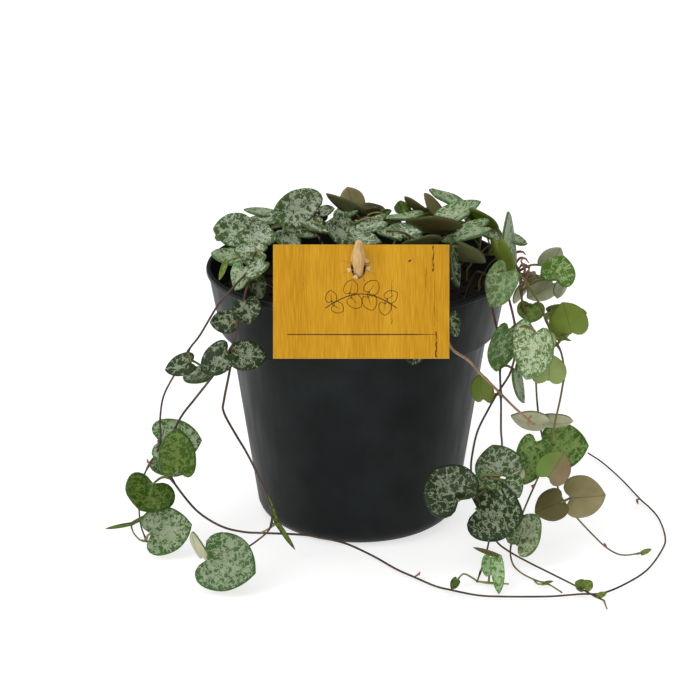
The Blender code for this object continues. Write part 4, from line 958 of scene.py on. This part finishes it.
def makePot():
    lip = pot["rim"] - pot["lipStep"] - pot["wall"]
    top = pot["height"]
    outline = [
        *potWall(0.0, 0.0, 6),
        (pot["rim"], top - pot["lipHeight"] + 0.4),
        (pot["rim"], top - 0.5),
        (pot["rim"] - 0.5, top),
        (lip + 0.8, top),
        (lip + 0.3, top - 0.4),
        *reversed(potWall(pot["wall"], pot["floor"], 6)),
    ]
    first = outline[0]
    bpy.ops.mesh.primitive_circle_add(
        vertices=pot["sides"], radius=first[0] * mm, fill_type="NGON", location=(0, 0, first[1] * mm)
    )
    made = settle(bpy.context.object)
    bpy.ops.object.mode_set(mode="EDIT")
    bpy.ops.mesh.select_mode(type="EDGE")
    bpy.ops.mesh.select_all(action="SELECT")
    bpy.ops.mesh.select_all(action="DESELECT")
    bpy.ops.mesh.select_non_manifold()
    for (radius, height), (nextRadius, nextHeight) in zip(outline, outline[1:]):
        bpy.ops.mesh.extrude_region_move(
            TRANSFORM_OT_translate={"value": (0, 0, (nextHeight - height) * mm)}
        )
        share = nextRadius / radius
        bpy.ops.transform.resize(value=(share, share, 1), center_override=(0, 0, nextHeight * mm))
    bpy.ops.mesh.edge_face_add()
    bpy.ops.mesh.select_all(action="SELECT")
    bpy.ops.mesh.normals_make_consistent(inside=False)
    bpy.ops.object.mode_set(mode="OBJECT")
    cutters = []
    for index in range(pot["drainHoles"]):
        angle = math.tau * (index + 0.5) / pot["drainHoles"]
        bpy.ops.mesh.primitive_cylinder_add(
            vertices=32,
            radius=pot["drainRadius"] * mm,
            depth=0.02,
            location=(pot["drainCircle"] * mm * math.cos(angle), pot["drainCircle"] * mm * math.sin(angle), 0),
        )
        cutters.append(bpy.context.object)
    cutter = joinAll(cutters)
    holes = made.modifiers.new("drain holes", "BOOLEAN")
    holes.object = cutter
    soften = made.modifiers.new("moulded edges", "BEVEL")
    soften.width = 0.35 * mm
    soften.segments = 2
    soften.limit_method = "ANGLE"
    soften.angle_limit = math.radians(40)
    applyAll(made)
    bpy.data.objects.remove(cutter)
    bpy.ops.object.shade_smooth_by_angle(angle=math.radians(30))
    return made


def potMaterial():
    # polypropylene, injection moulded in a satin tool: soft broad highlights, faint flow streaks, dust
    made, tree, shader = newMaterial("polypropylene_satin_moulded", 0.42, 1.49)
    shader.inputs["Specular IOR Level"].default_value = 0.11
    where = add(tree, "ShaderNodeTexCoord")
    squeeze = add(tree, "ShaderNodeMapping", {"Vector": where.outputs["Object"], "Scale": (260, 260, 30)})
    flow = add(tree, "ShaderNodeTexNoise", {"Vector": squeeze.outputs[0], "Scale": 1.0, "Detail": 4.0})
    dust = add(tree, "ShaderNodeTexNoise", {"Vector": where.outputs["Object"], "Scale": 55.0, "Detail": 6.0})
    tone = add(tree, "ShaderNodeMapRange", {0: dust.outputs["Fac"], 1: 0.42, 2: 0.75})
    tint = add(tree, "ShaderNodeMix", {0: tone.outputs[0], 6: colour("#121617"), 7: colour("#1E2223")}, data_type="RGBA")
    tree.links.new(tint.outputs[2], shader.inputs["Base Color"])
    sheen = add(tree, "ShaderNodeMapRange", {0: flow.outputs["Fac"], 1: 0.3, 2: 0.7, 3: 0.38, 4: 0.5})
    tree.links.new(sheen.outputs[0], shader.inputs["Roughness"])
    grain = add(tree, "ShaderNodeTexNoise", {"Vector": where.outputs["Object"], "Scale": 2200.0, "Detail": 2.0})
    bump = add(tree, "ShaderNodeBump", {"Height": grain.outputs["Fac"], "Strength": 0.12, "Distance": 0.0002})
    tree.links.new(bump.outputs[0], shader.inputs["Normal"])
    return made


potPiece = makePot()
potPiece.data.materials.append(potMaterial())
handOver(potPiece, "pot_moulded", "moulded_polypropylene", "pot")
print("pot is moulded")

# the soil
soil = {
    "sides": 72,
    "gap": 0.3,
    "crown": 1.5,
    "rough": 1.1,  # the height of its lumps
    "crumbs": 420,
    "crumbSize": (0.5, 1.9),
    "seed": 3,
}


def makeSoil():
    wall = potWall(pot["wall"] + soil["gap"], pot["floor"] + soil["gap"], 6)
    low, lip = wall[-2], wall[-1]
    share = (stem["soilLevel"] - low[1]) / (lip[1] - low[1])
    edge = low[0] + (lip[0] - low[0]) * share
    outline = [*wall[:-1], (edge, stem["soilLevel"])]
    bpy.ops.mesh.primitive_circle_add(
        vertices=soil["sides"], radius=outline[0][0] * mm, fill_type="NGON", location=(0, 0, outline[0][1] * mm)
    )
    made = settle(bpy.context.object)
    bpy.ops.object.mode_set(mode="EDIT")
    bpy.ops.mesh.select_mode(type="EDGE")
    bpy.ops.mesh.select_all(action="DESELECT")
    bpy.ops.mesh.select_non_manifold()
    for (radius, height), (nextRadius, nextHeight) in zip(outline, outline[1:]):
        bpy.ops.mesh.extrude_region_move(TRANSFORM_OT_translate={"value": (0, 0, (nextHeight - height) * mm)})
        share = nextRadius / radius
        bpy.ops.transform.resize(value=(share, share, 1), center_override=(0, 0, nextHeight * mm))
    bpy.ops.mesh.edge_face_add()
    bpy.ops.mesh.select_mode(type="FACE")
    for ring in range(20):
        bpy.ops.mesh.inset(thickness=edge * mm / 21)
    bpy.ops.mesh.poke()
    bpy.ops.mesh.select_all(action="SELECT")
    bpy.ops.mesh.normals_make_consistent(inside=False)
    bpy.ops.object.mode_set(mode="OBJECT")
    level = stem["soilLevel"] * mm
    for vert in made.data.vertices:
        if vert.co.z > level - 0.1 * mm:
            out = vert.co.xy.length / (edge * mm)
            rough = noise.fractal(vert.co * 160, 0.8, 2.1, 4) * soil["rough"] * min(1, (1 - out) * 6)
            vert.co.z += (soil["crown"] * (1 - out**2) + rough) * mm
    return made


def makeCrumbs(draw):
    # loose crumbs of compost, pressed a little into the surface
    bpy.ops.mesh.primitive_ico_sphere_add(subdivisions=1, radius=1.0)
    master = bpy.context.object
    crumbs = []
    for _ in range(soil["crumbs"]):
        out = 56 * math.sqrt(draw.random())
        angle = draw.uniform(0, math.tau)
        size = draw.uniform(*soil["crumbSize"])
        crumb = master.copy()
        crumb.data = master.data.copy()
        bpy.context.collection.objects.link(crumb)
        crown = soil["crown"] * (1 - (out / 56) ** 2)
        height = stem["soilLevel"] + crown + size * 0.1
        crumb.location = Vector((out * math.cos(angle), out * math.sin(angle), height)) * mm
        crumb.rotation_euler = [draw.uniform(0, math.tau) for _ in range(3)]
        crumb.scale = [size * draw.uniform(0.35, 0.6) * mm * 1.4 for _ in range(3)]
        crumbs.append(crumb)
    bpy.data.objects.remove(master)
    selectOnly(*crumbs)
    bpy.ops.object.transform_apply(location=True, rotation=True, scale=True)
    return joinAll(crumbs)


def soilMaterial():
    # peat compost, damp and crumbly: fully matt, with brown fibre; near black, darker than the compost alone, as
    # painted shade of the leaves over it
    made, tree, shader = newMaterial("peat_compost_painted_shade", 0.9, 1.4)
    shader.inputs["Specular IOR Level"].default_value = 0.2
    where = add(tree, "ShaderNodeTexCoord")
    fibre = add(tree, "ShaderNodeTexNoise", {"Vector": where.outputs["Object"], "Scale": 900.0, "Detail": 5.0})
    # the near-black tones hold painted shade of the leaves over the soil
    tint = add(tree, "ShaderNodeMix", {0: fibre.outputs["Fac"], 6: colour("#080604"), 7: colour("#1E1710")}, data_type="RGBA")
    tree.links.new(tint.outputs[2], shader.inputs["Base Color"])
    bump = add(tree, "ShaderNodeBump", {"Height": fibre.outputs["Fac"], "Strength": 0.8, "Distance": 0.0006})
    tree.links.new(bump.outputs[0], shader.inputs["Normal"])
    return made


soilPiece = joinAll([makeSoil(), makeCrumbs(random.Random(soil["seed"]))])
selectOnly(soilPiece)
bpy.ops.object.shade_smooth_by_angle(angle=math.radians(40))
soilPiece.data.materials.append(soilMaterial())
handOver(soilPiece, "soil_crumbly", "peat_compost", "soil")
print("soil is laid")

# the card and its print
card = {
    "width": 64.4,
    "height": 41.7,
    "thickness": 0.8,
    "centre": (0.7, -59.3, 108.9),
    "tilt": 20.0,
    "hole": (-0.9, 12.6),  # where the pick passes, across and up from the middle
    "inkRise": 0.03,
}
cardFrame = Matrix.Translation(Vector(card["centre"])) @ Matrix.Rotation(-math.radians(card["tilt"]), 4, "X")
cardFront = -card["thickness"] / 2
pickRod = {
    "crossing": (-0.3, -55.0, 120.7),
    "radius": 2.7,
    "footRadius": 1.9,
    "endRadius": 1.2,
    "lean": 14.0,
    "top": 131.5,
}


def pickPoint(height):
    x, y, z = pickRod["crossing"]
    return Vector((x, y - math.tan(math.radians(pickRod["lean"])) * (height - z), height))


def makeCard():
    bpy.ops.mesh.primitive_cube_add(size=1.0)
    made = bpy.context.object
    made.scale = Vector((card["width"], card["thickness"], card["height"])) * mm
    settle(made)
    bpy.ops.object.mode_set(mode="EDIT")
    bpy.ops.mesh.select_all(action="SELECT")
    bpy.ops.transform.rotate(
        value=math.radians(card["tilt"]), orient_axis="X", center_override=(0, 0, 0)
    )
    bpy.ops.transform.translate(value=Vector(card["centre"]) * mm)
    bpy.ops.object.mode_set(mode="OBJECT")
    bpy.ops.mesh.primitive_cylinder_add(vertices=24, radius=pickRod["radius"] * mm, depth=0.016)
    cutter = bpy.context.object
    cutter.location = Vector(pickRod["crossing"]) * mm
    cutter.rotation_euler = (pickPoint(130) - pickPoint(100)).to_track_quat("Z", "Y").to_euler()
    hole = made.modifiers.new("pick hole", "BOOLEAN")
    hole.object = cutter
    soften = made.modifiers.new("cut edges", "BEVEL")
    soften.width = 0.12 * mm
    soften.segments = 2
    soften.limit_method = "ANGLE"
    applyAll(made)
    bpy.data.objects.remove(cutter)
    return made


def printedStroke(lines, name, ink):
    # thin printed lines: flat threads on the card's face. A line is (across, up, radius) points
    curve = bpy.data.curves.new(name, "CURVE")
    curve.dimensions = "3D"
    curve.bevel_depth = mm
    curve.bevel_resolution = 0
    curve.use_fill_caps = True
    for line in lines:
        addSpline(curve, [Vector((u, 0, v)) for u, v, _ in line], [radius for _, _, radius in line], 0)
    made = bpy.data.objects.new(name, curve)
    bpy.context.collection.objects.link(made)
    selectOnly(made)
    bpy.ops.object.convert(target="MESH")
    made = bpy.context.object
    made.data.materials.append(ink)
    flatten = Matrix.Diagonal((1, 0.0001, 1, 1))
    lift = Matrix.Translation((0, (cardFront - card["inkRise"]) * mm, 0))
    place = Matrix.Translation(Vector(card["centre"]) * mm) @ Matrix.Rotation(-math.radians(card["tilt"]), 4, "X")
    made.data.transform(place @ lift @ flatten)
    return made


def cardMaterial():
    # printed card, offset litho with a wood-board print: warm ochre, fine upright grain, slight gloss
    made, tree, shader = newMaterial("card_offset_printed", 0.55, 1.5)
    shader.inputs["Specular IOR Level"].default_value = 0.15
    where = add(tree, "ShaderNodeTexCoord")
    # laid into the card's own plane, in millimetres
    turned = add(tree, "ShaderNodeVectorRotate",
                 {"Vector": where.outputs["Object"], "Center": Vector(card["centre"]) * mm,
                  "Angle": math.radians(card["tilt"])}, rotation_type="X_AXIS")
    grainMap = add(tree, "ShaderNodeMapping", {"Vector": turned.outputs[0], "Scale": (2600, 2600, 130)})
    boardMap = add(tree, "ShaderNodeMapping", {"Vector": turned.outputs[0], "Scale": (160, 160, 7)})
    fine = add(tree, "ShaderNodeTexNoise", {"Vector": grainMap.outputs[0], "Scale": 1.0, "Detail": 3.0})
    broad = add(tree, "ShaderNodeTexNoise", {"Vector": boardMap.outputs[0], "Scale": 1.0, "Detail": 4.0})
    both = add(tree, "ShaderNodeMath", {0: fine.outputs["Fac"], 1: 1.2, 2: broad.outputs["Fac"]}, operation="MULTIPLY_ADD")
    share = add(tree, "ShaderNodeMapRange", {0: both.outputs[0], 1: 0.8, 2: 1.4})
    tint = add(tree, "ShaderNodeMix", {0: share.outputs[0], 6: colour("#C58912"), 7: colour("#E4AC2B")}, data_type="RGBA")
    tree.links.new(tint.outputs[2], shader.inputs["Base Color"])
    bump = add(tree, "ShaderNodeBump", {"Height": fine.outputs["Fac"], "Strength": 0.1, "Distance": 0.0001})
    tree.links.new(bump.outputs[0], shader.inputs["Normal"])
    return made


def plainMaterial(name, first, second, roughness, scale):
    # a finish that drifts between two close tones
    made, tree, shader = newMaterial(name, roughness)
    where = add(tree, "ShaderNodeTexCoord")
    drift = add(tree, "ShaderNodeTexNoise", {"Vector": where.outputs["Object"], "Scale": scale, "Detail": 3.0})
    tint = add(tree, "ShaderNodeMix", {0: drift.outputs["Fac"], 6: colour(first), 7: colour(second)}, data_type="RGBA")
    tree.links.new(tint.outputs[2], shader.inputs["Base Color"])
    return made


def makePrint(ink, draw):
    # a rule line near the foot, board cracks, and a plain sprig of heart leaves
    lines = [[(-27.0, -12.0, 0.16), (0.0, -12.05, 0.2), (19.0, -12.0, 0.17), (27.0, -12.0, 0.06)]]
    for across, top, foot, thick in ((26.4, 20.4, 11.0, 0.28), (27.4, -10.9, -20.3, 0.26), (11.2, 7.9, -8.3, 0.1),
                                     (26.9, 9.0, -9.0, 0.08), (23.6, 14.0, 5.0, 0.07), (-21.0, 9.0, 4.0, 0.07)):
        count = 12
        crack = []
        for index in range(count + 1):
            rise = top + (foot - top) * index / count
            crack.append((across + draw.uniform(-0.25, 0.25), rise, thick * draw.uniform(0.15, 1.0)))
        lines.append(crack)
    lines.append([(17.2, 14.6, 0.1), (17.7, 14.9, 0.4), (18.3, 15.2, 0.12)])
    # the sprig is drawn in line: a bowed stem with a pair of leaves at each of its joints
    bow = [Vector((-13.0 + 26.0 * t, -4.6 + 7.4 * math.sin(math.pi * (0.1 + 0.8 * t)))) for t in
           [index / 12 for index in range(13)]]
    lines.append([(point.x, point.y, 0.16) for point in bow])
    for index, size in ((1, 4.0), (4, 5.0), (7, 5.2), (10, 4.4)):
        ahead = (bow[index + 1] - bow[index - 1]).normalized()
        for side in (-1, 1):
            heading = Matrix.Rotation(side * math.radians(62), 2) @ ahead
            beside = Vector((-heading.y, heading.x))
            notch = bow[index] + heading * 1.1
            rim = [heart(math.tau * step / 20 - math.pi) for step in range(21)]
            outline = [notch + (beside * u + heading * v) * size for u, v in rim]
            lines.append([(point.x, point.y, 0.11) for point in outline])
            lines.append([(*bow[index], 0.1), (*notch, 0.1), (*(notch + heading * size * 0.6), 0.05)])
    return printedStroke(lines, "print_lines", ink)


def makeFlaps(edge):
    # the card's torn points round the pick: slits in a star, and small flaps pushed out
    across, rise = card["hole"]
    slits = []
    for index in range(8):
        angle = math.radians(22 + 45 * index)
        lean = Vector((math.cos(angle), math.sin(angle)))
        start = Vector((across, rise)) + lean * 2.4
        end = Vector((across, rise)) + lean * 6.4
        slits.append([(start.x, start.y, 0.16), ((start.x + end.x) / 2, (start.y + end.y) / 2, 0.12), (end.x, end.y, 0.04)])
    made = printedStroke(slits, "star_slits", edge)
    flaps = []
    for degrees, out in ((-8, 1.3), (38, 0.9), (196, 0.8), (252, 0.5)):
        angle = math.radians(degrees)
        lean = Vector((math.cos(angle), 0, math.sin(angle)))
        side = Vector((-lean.z, 0, lean.x))
        bpy.ops.mesh.primitive_plane_add(size=1.0)
        flap = bpy.context.object
        base = Vector((across, cardFront, rise)) + lean * 4.2
        tipOut = Vector((across, cardFront - out, rise)) + lean * 3.0
        corners = [base - side * 1.0, base + side * 1.0, tipOut - side * 0.35, tipOut + side * 0.35]
        for vert, corner in zip(flap.data.vertices, corners):
            vert.co = (cardFrame @ corner) * mm
        wall = flap.modifiers.new("card", "SOLIDIFY")
        wall.thickness = 0.25 * mm
        wall.offset = 0.0
        applyAll(flap)
        flap.data.materials.append(edge)
        flaps.append(flap)
    return joinAll([made, *flaps])


cardPrint = cardMaterial()
cardEdge = plainMaterial("card_cut_edge", "#D9B878", "#E8CF9C", 0.7, 800.0)
cardInk = plainMaterial("ink_brown_offset", "#3B2410", "#5A3A1C", 0.45, 600.0)
cardPiece = makeCard()
cardPiece.data.materials.append(cardPrint)
cardPiece.data.materials.append(cardEdge)
normal = cardFrame.to_3x3() @ Vector((0, -1, 0))
for polygon in cardPiece.data.polygons:
    polygon.material_index = 0 if polygon.normal.dot(normal) > 0.9 else 1
cardPiece = joinAll([cardPiece, makePrint(cardInk, random.Random(8)), makeFlaps(cardEdge)])
handOver(cardPiece, "card_printed", "printed_card", "card")
print("card is printed")


# the pick
def makePick(draw):
    foot, top = pickPoint(stem["rootDepth"]), pickPoint(pickRod["top"])
    length = (top - foot).length
    outline = [
        (pickRod["footRadius"] - 0.5, 0.0),
        (pickRod["footRadius"], 1.0),
        (pickRod["footRadius"], length * 0.5),
        (pickRod["footRadius"], length - 11.5),
        (pickRod["radius"] * 0.93, length - 9.0),
        (pickRod["radius"] * 1.03, length - 7.0),
        (pickRod["radius"] * 0.97, length - 5.0),
        (pickRod["endRadius"] * 1.55, length - 2.8),
        (pickRod["endRadius"] * 1.15, length - 0.8),
        (pickRod["endRadius"], length),
    ]
    bpy.ops.mesh.primitive_circle_add(vertices=14, radius=outline[0][0] * mm, fill_type="NGON")
    made = bpy.context.object
    bpy.ops.object.mode_set(mode="EDIT")
    bpy.ops.mesh.select_mode(type="EDGE")
    bpy.ops.mesh.select_all(action="DESELECT")
    bpy.ops.mesh.select_non_manifold()
    for (radius, height), (nextRadius, nextHeight) in zip(outline, outline[1:]):
        bpy.ops.mesh.extrude_region_move(TRANSFORM_OT_translate={"value": (0, 0, (nextHeight - height) * mm)})
        share = nextRadius / radius
        bpy.ops.transform.resize(value=(share, share, 1), center_override=(0, 0, nextHeight * mm))
    bpy.ops.mesh.edge_face_add()
    bpy.ops.mesh.select_all(action="SELECT")
    bpy.ops.mesh.normals_make_consistent(inside=False)
    bpy.ops.object.mode_set(mode="OBJECT")
    # cut with a knife and not turned, so its sides are uneven
    for vert in made.data.vertices:
        if vert.co.z > (length - 9) * mm:
            vert.co.x *= draw.uniform(0.9, 1.05)
            vert.co.y *= draw.uniform(0.9, 1.05)
    made.location = foot * mm
    made.rotation_euler = (top - foot).to_track_quat("Z", "Y").to_euler()
    settle(made)
    soften = made.modifiers.new("worn corners", "BEVEL")
    soften.width = 0.25 * mm
    soften.segments = 2
    soften.limit_method = "ANGLE"
    applyAll(made)
    bpy.ops.object.shade_smooth_by_angle(angle=math.radians(35))
    return made


def pickMaterial():
    # beech or birch, split and unsanded: pale cream, matt, with long grain along the rod
    made, tree, shader = newMaterial("beech_split_raw", 0.7, 1.5)
    where = add(tree, "ShaderNodeTexCoord")
    turned = add(tree, "ShaderNodeVectorRotate",
                 {"Vector": where.outputs["Object"], "Angle": -math.radians(pickRod["lean"])}, rotation_type="X_AXIS")
    stretched = add(tree, "ShaderNodeMapping", {"Vector": turned.outputs[0], "Scale": (1400, 1400, 90)})
    grain = add(tree, "ShaderNodeTexNoise", {"Vector": stretched.outputs[0], "Scale": 1.0, "Detail": 4.0})
    share = add(tree, "ShaderNodeMapRange", {0: grain.outputs["Fac"], 1: 0.3, 2: 0.7})
    tint = add(tree, "ShaderNodeMix", {0: share.outputs[0], 6: colour("#C4985A"), 7: colour("#E6C48A")}, data_type="RGBA")
    tree.links.new(tint.outputs[2], shader.inputs["Base Color"])
    bump = add(tree, "ShaderNodeBump", {"Height": grain.outputs["Fac"], "Strength": 0.4, "Distance": 0.0003})
    tree.links.new(bump.outputs[0], shader.inputs["Normal"])
    return made


pickPiece = makePick(random.Random(2))
pickPiece.data.materials.append(pickMaterial())
handOver(pickPiece, "pick_whittled", "beech_pick", "pick")
print("pick is whittled")

# floor and light
studio = {
    "floorSize": 12.0,
    "floorGlow": 0.69,
    "worldStrength": 0.18,
    "lamps": {
        # place, size and power
        "key": ((-1.1, -0.8, 1.1), 1.0, 10.6),
        "fill": ((0.3, -1.5, 1.3), 1.0, 3.0),
        "top": ((0.0, 0.3, 1.8), 2.4, 24.0),
    },
    "aim": (0.0, 0.0, 0.06),
}


def makeStudio():
    bpy.ops.mesh.primitive_plane_add(size=studio["floorSize"])
    ground = bpy.context.object
    ground.name = "floor"
    # white acrylic lit from below, which is why the plant throws only a faint shadow on it
    made, tree, shader = newMaterial("floor_acrylic_lit", 0.9)
    shader.inputs["Base Color"].default_value = colour("#C0C0C0")
    shader.inputs["Emission Color"].default_value = colour("#FFFFFF")
    shader.inputs["Emission Strength"].default_value = studio["floorGlow"]
    ground.data.materials.append(made)
    ground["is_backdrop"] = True
    world = bpy.data.worlds.new("studio")
    world.use_nodes = True
    sky = world.node_tree.nodes["Background"]
    sky.inputs["Color"].default_value = (1, 1, 1, 1)
    sky.inputs["Strength"].default_value = studio["worldStrength"]
    bpy.context.scene.world = world
    for name, (place, size, power) in studio["lamps"].items():
        bpy.ops.object.light_add(type="AREA", location=place)
        lamp = bpy.context.object
        lamp.name = name
        lamp.data.size = size
        lamp.data.energy = power
        lamp.rotation_euler = (Vector(place) - Vector(studio["aim"])).to_track_quat("Z", "Y").to_euler()
    bpy.context.scene.view_settings.view_transform = "Standard"


makeStudio()
print("studio is lit")

triangles = sum(len(p.vertices) - 2 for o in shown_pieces() if o.type == "MESH" for p in o.data.polygons)
print("triangles shown:", triangles)
